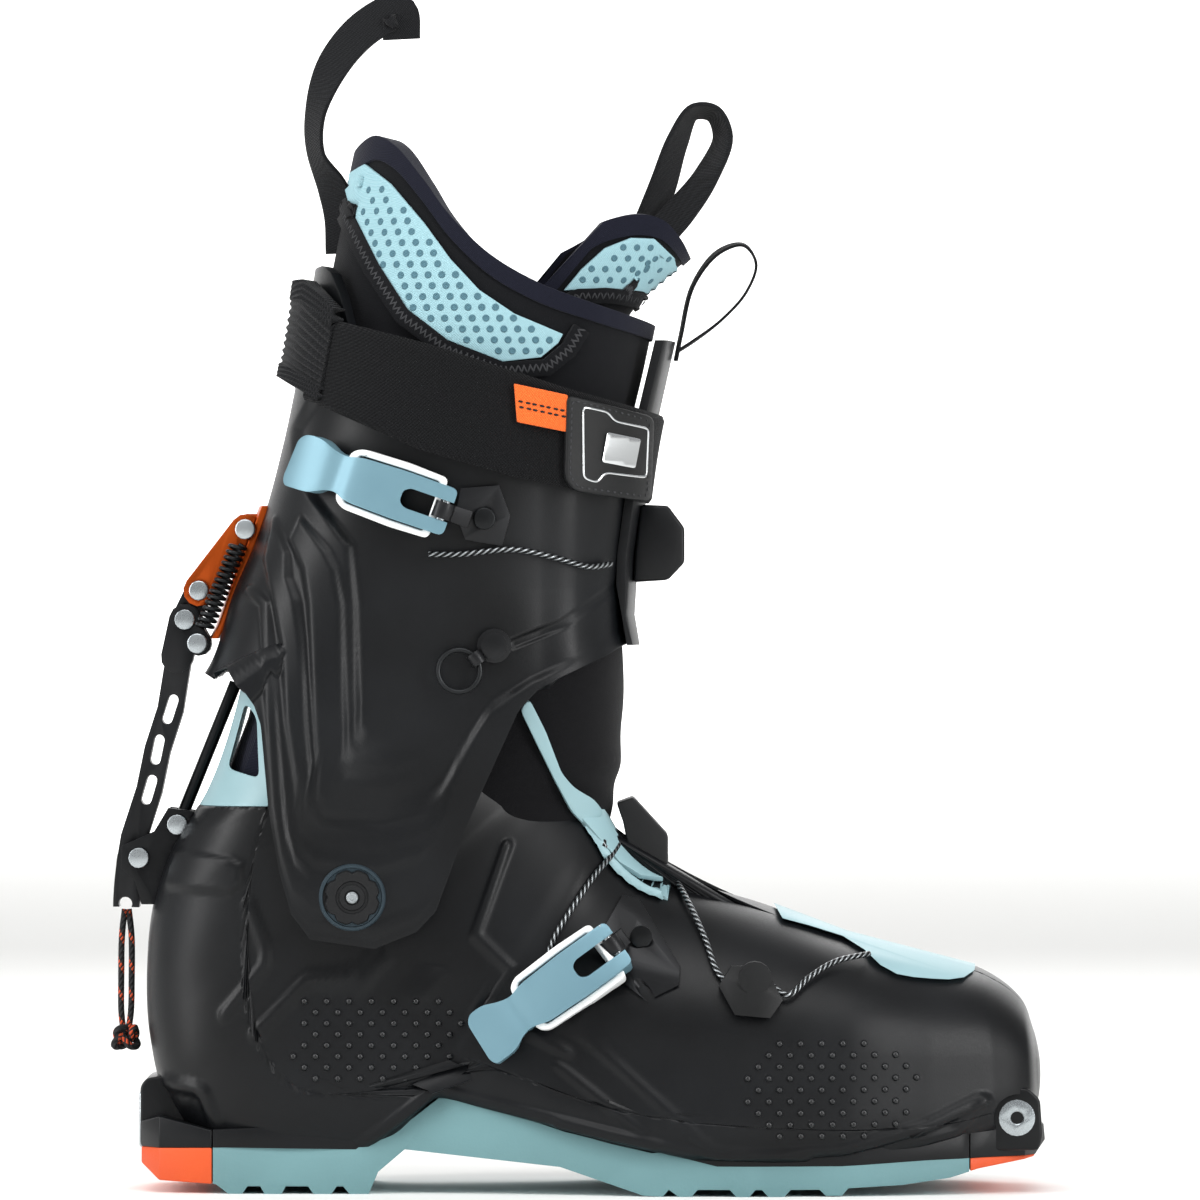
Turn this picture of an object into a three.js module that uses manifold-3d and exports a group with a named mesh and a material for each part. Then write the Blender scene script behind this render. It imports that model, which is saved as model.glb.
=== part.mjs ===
// Alpine touring boot for the right foot, in millimetres.
// +X points to the toe, +Y to the inner (medial) side, +Z up. The origin lies on the ground
// under the middle of the heel, where the boot rests.
//
// The boot is three nested forms, each a fan of closed rings: the lower shell, whose rings turn
// from upright at the toe to level at the ankle, the cuff around it and the liner inside both.
// Growing a form by a few millimetres gives the surface that a plate, strap or lever lies on, so
// everything fastened to the boot follows its curve.
import * as THREE from 'three';
import { mergeVertices } from 'three/addons/utils/BufferGeometryUtils.js';
import Module from 'manifold-3d';

const wasm = await Module();
wasm.setup();

// ---------------------------------------------------------------- driving dimensions

// The outlines are drawn for the base size and graded to the size asked for, as a last is.
const base = { length: 287, width: 110, height: 332 };
const soleLength = 287;
const forefootWidth = 110;
const linerHeight = 332;

const gap = 0.35;
const shellWall = 4.5;
const cuffWall = 4;
const linerWall = 7;
const footLinerWall = 5;
const plateLift = 0.4;
const plateThickness = 2.4;
const toeOverlapThickness = 1.2;
const strapThickness = 2.6;
const ankleHalfWidth = 43.6;
const channelHalfWidth = 6.6;
const leverThickness = 11;
const leverClearance = 1.1;
const earThickness = 3.6;
const cableRadius = 1.1;
const cordRadius = 1;
const webbingWidth = 12;
const webbingThickness = 1.4;
const pivotStemRadius = 6;
const pivotHeadRadius = 12.9;
const pivotHeadThickness = 3.4;
const boltRadius = 2.2;
const boltHeadRadius = 3.2;
const buckleWidth = 15.5;
const bucklePinRadius = 1.5;
const buckleKnuckleRadius = 3.4;
const leverHeight = 5.2;
const lowerBuckleRise = 2.6;
const rivetRadius = 3.5;

const cuffForward = 20;
const cuffRearward = 25;

// ---------------------------------------------------------------- grading and small helpers

const gradeX = soleLength / base.length;
const gradeY = forefootWidth / base.width;
const gradeZ = linerHeight / base.height;
const at = (x, z) => new THREE.Vector2(x * gradeX, z * gradeZ);
const all = (pairs) => pairs.map(([x, z]) => at(x, z));
const vec = (x, y, z) => new THREE.Vector3(x, y, z);
const degrees = THREE.MathUtils.degToRad;

function solid(geometry) {
  const plain = geometry.index ? geometry.toNonIndexed() : geometry.clone();
  for (const name of ['normal', 'uv']) plain.deleteAttribute(name);
  const merged = mergeVertices(plain, 1e-4);
  return new wasm.Manifold(new wasm.Mesh({
    numProp: 3,
    vertProperties: new Float32Array(merged.attributes.position.array),
    triVerts: new Uint32Array(merged.index.array),
  }));
}

// Edges too short to matter are merged, which also keeps slivers out of the solids.
const sliver = 0.02;
function geometryOf(manifold) {
  const mesh = manifold.simplify(sliver).getMesh();
  const geometry = new THREE.BufferGeometry();
  geometry.setAttribute('position', new THREE.BufferAttribute(mesh.vertProperties, 3));
  geometry.setIndex(new THREE.BufferAttribute(mesh.triVerts, 1));
  geometry.computeVertexNormals();
  return geometry;
}

// A closed skin through rings that all have the same number of points, with a cap at each end.
function skin(rings) {
  const count = rings[0].length;
  const points = rings.flat();
  const faces = [];
  for (let row = 0; row + 1 < rings.length; row += 1) {
    for (let k = 0; k < count; k += 1) {
      const a = row * count + k;
      const b = row * count + ((k + 1) % count);
      faces.push(a, b, b + count, a, b + count, a + count);
    }
  }
  for (const row of [0, rings.length - 1]) {
    const centre = points.length;
    const middle = rings[row].reduce((sum, p) => sum.add(p), vec(0, 0, 0));
    points.push(middle.divideScalar(count));
    for (let k = 0; k < count; k += 1) {
      const a = row * count + k;
      const b = row * count + ((k + 1) % count);
      faces.push(...(row === 0 ? [centre, b, a] : [centre, a, b]));
    }
  }
  const geometry = new THREE.BufferGeometry().setFromPoints(points);
  geometry.setIndex(faces);
  const made = solid(geometry);
  if (made.volume() > 0) return made;
  const turned = [];
  for (let k = 0; k < faces.length; k += 3) turned.push(faces[k], faces[k + 2], faces[k + 1]);
  geometry.setIndex(turned);
  return solid(geometry);
}

// A side outline, drawn in X and Z, standing from one Y to another.
function prism(points, low, high) {
  const geometry = new THREE.ExtrudeGeometry(new THREE.Shape(points), {
    depth: high - low,
    bevelEnabled: false,
  });
  return solid(geometry.rotateX(Math.PI / 2).translate(0, high, 0));
}

// A plan outline, drawn in X and Y, standing from one Z to another.
function column(points, low, high) {
  const geometry = new THREE.ExtrudeGeometry(new THREE.Shape(points), {
    depth: high - low,
    bevelEnabled: false,
  });
  return solid(geometry.translate(0, 0, low));
}

const smooth = (points, count) => new THREE.SplineCurve(points).getPoints(count);
const wide = 90;
const across = (points) => prism(points, -wide, wide);
const lateral = (points) => prism(points, -wide, -1);
const box = (x0, x1, y0, y1, z0, z1) => solid(
  new THREE.BoxGeometry(x1 - x0, y1 - y0, z1 - z0)
    .translate((x0 + x1) / 2, (y0 + y1) / 2, (z0 + z1) / 2),
);

// A round bar from one Y to another, standing on a point of the side view.
function pin(centre, radius, low, high, sides = 16) {
  const geometry = new THREE.CylinderGeometry(radius, radius, high - low, sides);
  return solid(geometry.translate(centre.x, (low + high) / 2, centre.y));
}

// An arc about a centre, from one angle to another in degrees, in the side view.
function arc(centre, radius, from, to, count) {
  return Array.from({ length: count + 1 }, (_, k) => {
    const angle = degrees(from + ((to - from) * k) / count);
    return new THREE.Vector2(
      centre.x + radius * Math.cos(angle),
      centre.y + radius * Math.sin(angle),
    );
  });
}

const sector = (centre, inner, outer, from, to, count = 10) => [
  ...arc(centre, inner, from, to, count),
  ...arc(centre, outer, to, from, count),
];

const disc = (centre, radius, count = 20) => arc(centre, radius, 0, 360, count).slice(1);

function tube(points, radius, steps, sides = 8) {
  const shape = new THREE.Shape(disc(new THREE.Vector2(0, 0), radius, sides));
  return solid(new THREE.ExtrudeGeometry(shape, {
    steps,
    bevelEnabled: false,
    extrudePath: new THREE.CatmullRomCurve3(points),
  }));
}

// ---------------------------------------------------------------- the three forms

// A row is one ring of the fan: its front point, its rear point, its half width, how much it
// narrows towards the front, how square its front and rear halves are, and its shift inwards.
function ringFan(rows, grow, { from = 0, count = 20, sides = 20 } = {}) {
  const curve = (pick) => new THREE.CatmullRomCurve3(rows.map(pick));
  const fronts = curve((row) => vec(row[0] * gradeX, row[8] * gradeY, row[1] * gradeZ));
  const rears = curve((row) => vec(row[2] * gradeX, row[8] * gradeY, row[3] * gradeZ));
  const widths = curve((row) => vec(row[4] * gradeY, row[5], 0));
  const squares = curve((row) => vec(row[6], row[7], 0));
  const rings = [];
  const even = Array.from({ length: count }, (_, k) => k / (count - 1));
  for (const t of [from, ...even.filter((value) => value > from + 0.2 / count)]) {
    const front = fronts.getPoint(t);
    const rear = rears.getPoint(t);
    const width = widths.getPoint(t);
    const square = squares.getPoint(t);
    const middle = front.clone().add(rear).multiplyScalar(0.5);
    const reach = front.clone().sub(rear).multiplyScalar(0.5);
    const length = reach.length();
    reach.normalize();
    const ring = [];
    for (let k = 0; k < sides; k += 1) {
      const angle = (2 * Math.PI * k) / sides;
      const c = Math.cos(angle);
      const s = Math.sin(angle);
      const power = 2 / (c > 0 ? square.x : square.y);
      const run = Math.sign(c) * Math.abs(c) ** power * (length + grow);
      const side = Math.sign(s) * Math.abs(s) ** power * (width.x * (1 + width.y * c) + grow);
      ring.push(middle.clone().addScaledVector(reach, run).add(vec(0, side, 0)));
    }
    rings.push(ring);
  }
  return skin(rings);
}

const shellRows = [
  [240, 50, 241, 27, 22, 0, 2.4, 2.6, 2],
  [236, 60, 238, 21, 34, -0.04, 2.4, 3.5, 3],
  [224, 69, 226, 16, 42, -0.06, 2.4, 4.5, 4],
  [205, 74, 206, 11.5, 48, -0.08, 2.4, 5, 3],
  [181, 80, 180, 9, 53, -0.1, 2.4, 5, 1],
  [154, 90, 148, 8.5, 54, -0.16, 2.3, 5, 0],
  [132, 96.5, 118, 10.5, 51, -0.22, 2.3, 5, -1],
  [119, 101, 90, 16.5, 46.5, -0.22, 2.3, 5, 0],
  [111, 108, 66, 23, 44, -0.18, 2.3, 4.5, 0],
  [106, 116, 50, 26, 42.5, -0.12, 2.3, 4.5, 0],
  [102, 122, 31, 11, 41.5, -0.06, 2.3, 4.5, 0],
  [97, 128, 5, 9.5, 41, -0.03, 2.3, 4.5, 0],
  [93, 133, -17, 10.5, 40.5, 0, 2.3, 4, 0],
  [90, 138, -34, 27, 40, 0.02, 2.3, 3.4, 0],
  [87, 143, -40, 48, 40, 0.03, 2.3, 3, 0],
  [84.5, 148, -41, 70, 40.5, 0.03, 2.4, 2.8, 0],
  [82.5, 151.5, -39, 90, 41, 0.02, 2.4, 2.6, 0],
  [81, 155, -33, 108, 41, 0, 2.4, 2.5, 0],
  [79, 160, -22, 126, 40.5, 0, 2.4, 2.5, 0],
  [76, 168, -14, 148, 40, 0, 2.4, 2.5, 0],
  [73, 180, -8, 176, 39, 0, 2.4, 2.4, 0],
];

const cuffRows = [
  [128, 58, -72, 58, 49.5, 0, 4.5, 4.5, 0],
  [126, 110, -66, 110, 49.5, 0, 4.5, 4.5, 0],
  [120, 146, -42, 142, 49.5, 0, 3.8, 3.6, 0],
  [111.5, 171, -21.5, 165, 49.5, 0, 3, 2.8, 0],
  [111, 190, -14, 188, 50, 0, 2.6, 2.5, 0],
  [113.5, 214, -5.5, 208, 51, 0, 2.5, 2.4, 0],
  [117, 238, 2, 235, 52, 0, 2.4, 2.4, 0],
  [122, 260, 7.5, 262, 53, 0, 2.4, 2.4, 0],
  [128, 290, 14, 302, 54, 0, 2.4, 2.4, 0],
];

const linerRows = [
  [105, 150, -8, 148, 43.5, 0, 2.5, 2.4, 0],
  [105.5, 171, -8, 168, 44, 0, 2.5, 2.4, 0],
  [105.5, 190, -6, 188, 44.6, 0, 2.4, 2.3, 0],
  [108, 214, -0.5, 208, 45.6, 0, 2.3, 2.3, 0],
  [111.5, 238, 7.2, 235, 46.6, 0, 2.3, 2.3, 0],
  [116.5, 260, 12.6, 262, 47.4, 0, 2.3, 2.3, 0],
  [121, 282, 18, 292, 47.4, 0, 2.3, 2.3, 0],
  [125, 302, 22.5, 314, 46.5, 0, 2.3, 2.3, 0],
  [128, 322, 28, 340, 45.5, 0, 2.3, 2.3, 0],
];

const forms = new Map();
function form(name, rows, grow, options) {
  const key = `${name} ${grow}`;
  if (!forms.has(key)) forms.set(key, ringFan(rows, grow, options));
  return forms.get(key);
}
const toeWall = 0.008;
const shellForm = (grow) => form('shell', shellRows, grow, { count: 21, from: Math.max(0, -grow * toeWall) });
const cuffForm = (grow) => form('cuff', cuffRows, grow, { count: 10 });
const linerForm = (grow) => form('liner', linerRows, grow, { count: 11, sides: 20 });

// How far out the lateral side of a form is at one point of the side view.
function sideOf(surface, point) {
  const mesh = new THREE.Mesh(geometryOf(surface), new THREE.MeshBasicMaterial());
  const ray = new THREE.Raycaster(vec(point.x, -wide * 2, point.y), vec(0, 1, 0));
  return ray.intersectObject(mesh)[0].point.y;
}

const onForm = (surface, block, low, high) => surface(high).intersect(block).subtract(surface(low));

// ---------------------------------------------------------------- the node list

const boot = new THREE.Group();
const finishes = {
  shellBlack: [0x25282b, 0.42, 0],
  shellBlue: [0xa6d0d4, 0.4, 0],
  leverBlue: [0x7fa8b8, 0.35, 0.6],
  rubberBlue: [0x7aa3a8, 0.75, 0],
  rubberOrange: [0xec6828, 0.7, 0],
  steel: [0xb9bcbe, 0.3, 1],
  anodised: [0xc85a14, 0.35, 0.8],
  white: [0xf0f0f0, 0.4, 0],
  navy: [0x1d2430, 0.9, 0],
  fabric: [0x1b1c1f, 0.95, 0],
  webbing: [0x24262b, 0.9, 0],
  badge: [0x3a3c40, 0.35, 0.3],
};

function add(name, manifold, finish) {
  const [color, roughness, metalness] = finishes[finish];
  const material = new THREE.MeshStandardMaterial({ color, roughness, metalness });
  const mesh = new THREE.Mesh(geometryOf(manifold), material);
  mesh.name = name;
  boot.add(mesh);
}

// ---------------------------------------------------------------- clearances for the motion

const pivot = at(25.2, 93.4);
// Circles about the pivot grow with whichever way the boot grows most.
const gradeRound = Math.max(gradeX, gradeZ);
const shaftRadius = 80 * gradeRound;
const linerRadius = 91;

// The side view of the cuff. Its rear lower edge flares out over the guide rod.
const cuffOutline = [
  ...all([[135, 178], [109, 172]]),
  ...smooth(all([[105, 169], [90, 162], [78, 153], [65, 125], [57.7, 109], [53.5, 93]]), 8),
  ...arc(pivot, 20, -35, -140, 5),
  ...smooth(all([[4, 95], [-1, 121], [-3.2, 147], [-9, 158], [-22, 163], [-34, 165]]), 8),
  ...all([[-34, 240], [-6, 290.6], [12.7, 290.6], [16.7, 292.2], [24.8, 268], [93, 246], [135, 238]]),
];

const turned = (points, angle) => points.map((p) => p.clone().rotateAround(pivot, degrees(angle)));

// The space that the cuff's side plates sweep as the cuff turns.
function sideGuard() {
  const steps = [cuffRearward, cuffRearward / 2, 0, -cuffForward / 2, -cuffForward];
  const swept = steps.map((angle) => across(turned(cuffOutline, angle)));
  const guard = swept.reduce((sum, block) => sum.add(block));
  return guard.subtract(box(-wide * 3, wide * 4, -ankleHalfWidth, ankleHalfWidth, -wide, wide * 5));
}

// Everything above the ankle that lies further from the pivot than a radius.
function aboveAnkle(radius) {
  const high = box(-90 * gradeX, 110 * gradeX, -wide, wide, 120 * gradeZ, 400 * gradeZ);
  return high.subtract(across(disc(pivot, radius, 36)));
}

const rodFoot = at(-31.1, 115.2);
const rodTop = at(-13, 160);
const rodRadius = 2;
const rodEyeRadius = 4;
const rodSlotHalf = 3.4;
const rodSlot = prism(all([[-60, 108], [-24, 108], [12, 150], [12, 200], [-60, 200]]), -rodSlotHalf, rodSlotHalf);
const leverChannelRadius = 67.6 * gradeRound;
const leverChannel = prism(
  sector(pivot, leverChannelRadius, leverChannelRadius + 28, 160, 222),
  -channelHalfWidth,
  channelHalfWidth,
);
// Room for the closed lever to pass over the top of the shell as the cuff leans forward.
const leverPassage = prism(sector(pivot, 76.2 * gradeRound, 98 * gradeRound, 108, 163), -channelHalfWidth, channelHalfWidth);

// ---------------------------------------------------------------- lower shell and what it holds

const toeInsertAt = at(233.3, 23.75);
const toeInsertRadius = 5.7;
const toeInsertHalf = 34;
const dimpleRadius = 2.3;
const pivotHole = pin(pivot, pivotStemRadius + gap, -wide, wide, 20);
const guard = sideGuard();
const hollow = shellForm(-shellWall);

const shellBody = shellForm(0)
  .subtract(hollow)
  .subtract(guard)
  .subtract(aboveAnkle(shaftRadius))
  .subtract(rodSlot)
  .subtract(leverChannel)
  .subtract(leverPassage)
  .subtract(pin(rodFoot, boltHeadRadius + gap, -wide / 2, wide / 2));

// The two light frames at the back, each with a window, either side of the guide rod.
const frameEdge = [[-60, 121.5], [-1.5, 121.5], [-1.5, 200], [-60, 200]];
const frameSeat = across(all(frameEdge.map(([x, z]) => [x + (x > -10 ? gap : 0), z - (z < 130 ? gap : 0)])));
const window = across(all([[-9.3, 153], [-14.5, 134], [-5.2, 131], [-5.8, 148.8]]));
const framePair = shellBody.intersect(across(all(frameEdge))).subtract(window);
add('rear_frame_lateral', framePair.intersect(box(-99, 99, -wide, 0, -9, 299)), 'shellBlue');
add('rear_frame_medial', framePair.intersect(box(-99, 99, 0, wide, -9, 299)), 'shellBlue');

const toeBar = pin(toeInsertAt, toeInsertRadius + gap, -toeInsertHalf, toeInsertHalf, 20);
const heelPlate = { x0: -43, x1: -38.4, half: 14, z0: 13.5, z1: 31 };
const plateSeat = box(heelPlate.x0 * gradeX - 20, heelPlate.x1 * gradeX + gap, -heelPlate.half - gap,
  heelPlate.half + gap, heelPlate.z0 * gradeZ - gap, heelPlate.z1 * gradeZ + gap);
add('lower_shell', shellBody.subtract(frameSeat).subtract(pivotHole).subtract(toeBar).subtract(plateSeat),
  'shellBlack');
add('toe_insert', solid(new THREE.LatheGeometry([
  new THREE.Vector2(0, -toeInsertHalf + 3),
  new THREE.Vector2(dimpleRadius, -toeInsertHalf + gap),
  new THREE.Vector2(toeInsertRadius, -toeInsertHalf + gap),
  new THREE.Vector2(toeInsertRadius, toeInsertHalf - gap),
  new THREE.Vector2(dimpleRadius, toeInsertHalf - gap),
  new THREE.Vector2(0, toeInsertHalf - 3),
], 20).translate(toeInsertAt.x, 0, toeInsertAt.y)).subtract(hollow), 'steel');

// The sole is cut from one block: its side view, its plan, and the shell pressed into it.
const soleSide = all([
  [-42, 22], [-42, 9], [-36, 4], [-18, 3], [-14, 0], [-9.7, 0], [-8, 2.4], [-4, 2.4], [-2.7, 0],
  [2.7, 0], [4, 2.4], [11, 2.4], [12.7, 0], [18.3, 0], [20, 2.4], [22, 2.4], [24, 0], [30, 0],
  [33, 7], [41.3, 14], [90, 9], [102, 5], [116, 0.3], [122, 0], [124, 2.2], [127, 0], [131, 0],
  [133, 2.2], [143, 2.2], [145, 0], [149, 0], [151, 2.2], [153, 2.2], [155, 0], [160, 0], [162, 2.2],
  [171, 2.2], [173, 0.3], [178, 0.3], [180, 2.6], [186, 3], [197, 3.4], [212, 5.4], [221, 8],
  [239, 11], [243, 16], [242.5, 21], [225, 21], [205, 26], [150, 26], [100, 31], [60, 34],
  [44, 36], [20, 22], [-20, 20], [-36, 24],
]);
const solePlan = [
  [-42, -20], [-36, -30], [-20, -34.5], [5, -36], [40, -36], [80, -43], [120, -50], [150, -52],
  [185, -49], [215, -40], [236, -28], [243, -14], [243, 18], [237, 32], [220, 43], [190, 50],
  [155, 52], [120, 48], [80, 40], [40, 36], [5, 36], [-20, 34.5], [-36, 30], [-42, 20],
].map(([x, y]) => new THREE.Vector2(x * gradeX, y * gradeY));
const heelEnd = -18.9;
const toeEnd = 218.5;
const soleBlock = across(soleSide)
  .intersect(column(solePlan, -9, 60 * gradeZ))
  .subtract(shellForm(gap))
  .subtract(toeBar)
  .subtract(plateSeat);
const between = (x0, x1) => box(x0 * gradeX, x1 * gradeX, -wide, wide, -9, 99);
const largest = (manifold) => manifold.decompose().sort((a, b) => b.volume() - a.volume())[0];
const soleMiddle = soleBlock.intersect(between(heelEnd, toeEnd - gap));
add('outsole', largest(soleMiddle), 'rubberBlue');
add('heel_tip_rubber', largest(soleBlock.intersect(between(-60, heelEnd - gap))), 'rubberOrange');
add('toe_tip_rubber', largest(soleBlock.intersect(between(toeEnd, 260))), 'rubberOrange');

add('heel_insert', box(heelPlate.x0 * gradeX, heelPlate.x1 * gradeX, -heelPlate.half, heelPlate.half,
  heelPlate.z0 * gradeZ, heelPlate.z1 * gradeZ), 'steel');

// Board and foot liner inside the shell.
const cavity = shellForm(-shellWall - gap);
const boardTop = 30;
const below = (z) => box(-60 * gradeX, 260 * gradeX, -wide, wide, -9, z * gradeZ);
add('boot_board', largest(cavity.intersect(below(boardTop)).intersect(between(-32, 226))), 'fabric');
const footRoom = shellForm(-shellWall - gap - footLinerWall);
add('liner_foot', largest(cavity
  .intersect(hollow.translate(gap / 2, 0, 0))
  .intersect(hollow.translate(-gap / 2, 0, 0))
  .subtract(below(boardTop + gap / gradeZ))
  .subtract(footRoom.subtract(below(boardTop + footLinerWall)))
  .subtract(aboveAnkle(shaftRadius))
  .subtract(leverChannel)
  .subtract(rodSlot)), 'navy');

// Light toe piece that lies on the shell in front of the last ladder.
add('toe_overlap', onForm(shellForm, lateral(smooth(all([
  [160, 86], [181, 79.5], [193, 70], [205, 67.5], [217, 67.5], [222, 73], [212, 84], [160, 96], [160, 86],
]), 18)), plateLift, plateLift + toeOverlapThickness), 'shellBlue');

// Gaiter between shell and cuff: a band that lies on a circle about the pivot.
const gaiterRadius = shaftRadius + 4.6;
const gaiterThickness = 2.6;
const gaiterHalf = 34;
add('gaiter', prism(sector(pivot, gaiterRadius, gaiterRadius + gaiterThickness, 22, 62), -gaiterHalf,
  gaiterHalf).subtract(shellForm(gap)).subtract(guard), 'fabric');

// ---------------------------------------------------------------- heel bracket, screws and rod

const lowScrewAt = at(-43.3, 104.7);
const earInner = leverThickness / 2 + leverClearance;
const earOuter = earInner + earThickness;
const earOutline = all([[-26, 119.5], [-34, 120.5], [-38.5, 113], [-48.6, 108.5], [-49, 101.5], [-44.5, 97.5],
  [-42.5, 90], [-36, 90], [-30, 100]]);
const bracketBase = onForm(shellForm,
  prism(all([[-60, 92], [-20, 92], [-20, 111], [-60, 111]]), -earOuter, earOuter), plateLift, plateLift + 3);
const ears = prism(earOutline, -earOuter, earOuter).subtract(box(-90, 9, -earInner, earInner, 60, 190));
add('heel_bracket', ears.add(bracketBase)
  .subtract(shellForm(plateLift))
  .subtract(leverChannel)
  .subtract(rodSlot)
  .subtract(pin(rodFoot, boltRadius + gap, -wide, wide))
  .subtract(pin(lowScrewAt, boltRadius + gap, -wide, wide)), 'shellBlack');

// A bolt with a round head at each end that is given a height.
function bolt(centre, low, high, { radius = boltRadius, head = boltHeadRadius, lowHead = 1.6, highHead = 1.6 } = {}) {
  let body = pin(centre, radius, low - lowHead, high + highHead, 14);
  if (lowHead) body = body.add(pin(centre, head, low - lowHead, low, 16));
  if (highHead) body = body.add(pin(centre, head, high, high + highHead, 16));
  return body;
}
add('bracket_screw_lateral', bolt(lowScrewAt, -earOuter - gap, -earInner, { highHead: 0 }), 'steel');
add('bracket_screw_medial', bolt(lowScrewAt, earInner, earOuter + gap, { lowHead: 0 }), 'steel');
add('rod_pivot_bolt', bolt(rodFoot, -earOuter - gap, earOuter + gap), 'steel');

const rodLine = rodTop.clone().sub(rodFoot);
const rodAngle = Math.atan2(rodLine.y, rodLine.x);
const rodBody = pin(rodFoot, rodEyeRadius, -rodSlotHalf + gap * 2, rodSlotHalf - gap * 2, 18)
  .add(tube([vec(rodFoot.x, 0, rodFoot.y), vec(rodTop.x, 0, rodTop.y)], rodRadius, 1, 12))
  .subtract(pin(rodFoot, boltRadius + gap, -wide, wide));
add('guide_rod', rodBody, 'steel');

// ---------------------------------------------------------------- cuff and what it carries

const pivotZone = box(-60 * gradeX, 118 * gradeX, -ankleHalfWidth - gap, ankleHalfWidth + gap, 0, 160 * gradeZ);
const shellSweep = prism(disc(pivot, (shaftRadius + gap) / Math.cos(Math.PI / 36), 36), -ankleHalfWidth - gap,
  ankleHalfWidth + gap);
const frontSlot = box(95 * gradeX, 160 * gradeX, -12, 5, 0, 320 * gradeZ);
const cuffInside = cuffForm(-cuffWall);
add('cuff', largest(cuffForm(0)
  .subtract(cuffInside)
  .subtract(pivotZone)
  .subtract(shellSweep)
  .intersect(across(cuffOutline))
  .subtract(frontSlot)
  .subtract(pivotHole)), 'shellBlack');

const cuffSide = sideOf(cuffForm(0), pivot);
const pivotProfile = (turn) => solid(new THREE.LatheGeometry([
  new THREE.Vector2(0, 0),
  new THREE.Vector2(pivotStemRadius, 0),
  new THREE.Vector2(pivotStemRadius, -cuffSide - ankleHalfWidth + shellWall + gap),
  new THREE.Vector2(pivotHeadRadius, -cuffSide - ankleHalfWidth + shellWall + gap),
  new THREE.Vector2(pivotHeadRadius - 1, -cuffSide - ankleHalfWidth + shellWall + gap + pivotHeadThickness),
  new THREE.Vector2(0, -cuffSide - ankleHalfWidth + shellWall + gap + pivotHeadThickness),
], 24).translate(0, ankleHalfWidth - shellWall, 0).rotateZ(turn ? Math.PI : 0).translate(pivot.x, 0, pivot.y));
add('pivot_lateral', pivotProfile(true), 'shellBlack');
add('pivot_medial', pivotProfile(false), 'shellBlack');

// Shin plate over the front slot, with its tip at the bottom.
const shinOutline = all([[96, 258], [104, 268], [135, 268], [135, 172], [111, 172], [106, 200]]);
const shinZone = prism(shinOutline, -24, 17);
add('shin_plate', onForm(cuffForm, shinZone, plateLift, plateLift + plateThickness), 'shellBlack');

// Power strap: ribbed yoke at the back, webbing round the front, both above the shin plate.
const strapLow = plateLift + plateThickness + gap;
const strapHigh = strapLow + strapThickness;
const seamX = 22;
const strapOutline = all([[seamX + gap, 273], [49, 266], [93, 252], [135, 241], [135, 214], [93, 221], [76, 224.4],
  [46, 233], [seamX + gap, 243.5]]);
const yokeOutline = all([[seamX - gap, 274], [9.8, 288], [-20, 288], [-20, 258], [-0.2, 258], [seamX - gap, 244]]);
const strapBand = onForm(cuffForm, across(strapOutline), strapLow, strapHigh);
add('power_strap', strapBand, 'webbing');
add('strap_yoke', onForm(cuffForm, across(yokeOutline), plateLift, strapHigh), 'shellBlack');
const tabOutline = all([[75.8, 253.5], [91.6, 250.2], [91.6, 238.6], [76.8, 241.5]]);
add('strap_pull_tab', onForm(cuffForm, lateral(tabOutline), strapHigh + gap, strapHigh + gap + 1.6), 'rubberOrange');
const badgeOutline = all([[92.8, 249.5], [119.5, 243], [118.5, 217.5], [92.8, 220.5]]);
add('strap_plate', onForm(cuffForm, lateral(badgeOutline), strapHigh + gap, strapHigh + gap + 2.2), 'badge');

// ---------------------------------------------------------------- liner shaft, tongue, pull loops

const linerOutline = all([[-30, 140], [-30, 345], [31, 331.9], [40, 321], [49.2, 311.3], [71, 289.4], [84, 281],
  [97, 278.5], [135, 268], [135, 168], [98, 164], [80, 140]]);
add('liner_shaft', largest(linerForm(0)
  .subtract(linerForm(-linerWall))
  .intersect(across(linerOutline))
  .subtract(across(disc(pivot, linerRadius, 36)))
  .subtract(prism(all([[-40, 120], [4, 150], [8, 192], [-40, 200]]), -rodSlotHalf - 1, rodSlotHalf + 1))), 'navy');

const tongueRows = [
  [92, 176, 12, 176, 33, 0, 2.3, 2.3, 0],
  [96, 200, 16, 200, 34, 0, 2.3, 2.3, 0],
  [100, 230, 20, 230, 35, 0, 2.3, 2.3, 0],
  [104, 255, 24, 258, 35, 0, 2.3, 2.3, 0],
  [107.5, 269, 30, 278, 34, 0, 2.3, 2.3, 0],
  [117, 283, 42, 300, 32, 0, 2.3, 2.3, 0],
  [132, 296, 56, 322, 30, 0, 2.3, 2.3, 0],
  [141, 309, 66, 338, 28, 0, 2.3, 2.3, 0],
];
const tongueForm = (grow) => form('tongue', tongueRows, grow, { count: 9, sides: 20 });
const tongueOutline = all([[81, 186], [81, 283], [97, 302], [112.7, 308], [132, 296], [140, 280], [140, 186]]);
add('liner_tongue', largest(tongueForm(0).subtract(tongueForm(-6)).intersect(across(tongueOutline))), 'navy');

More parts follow.
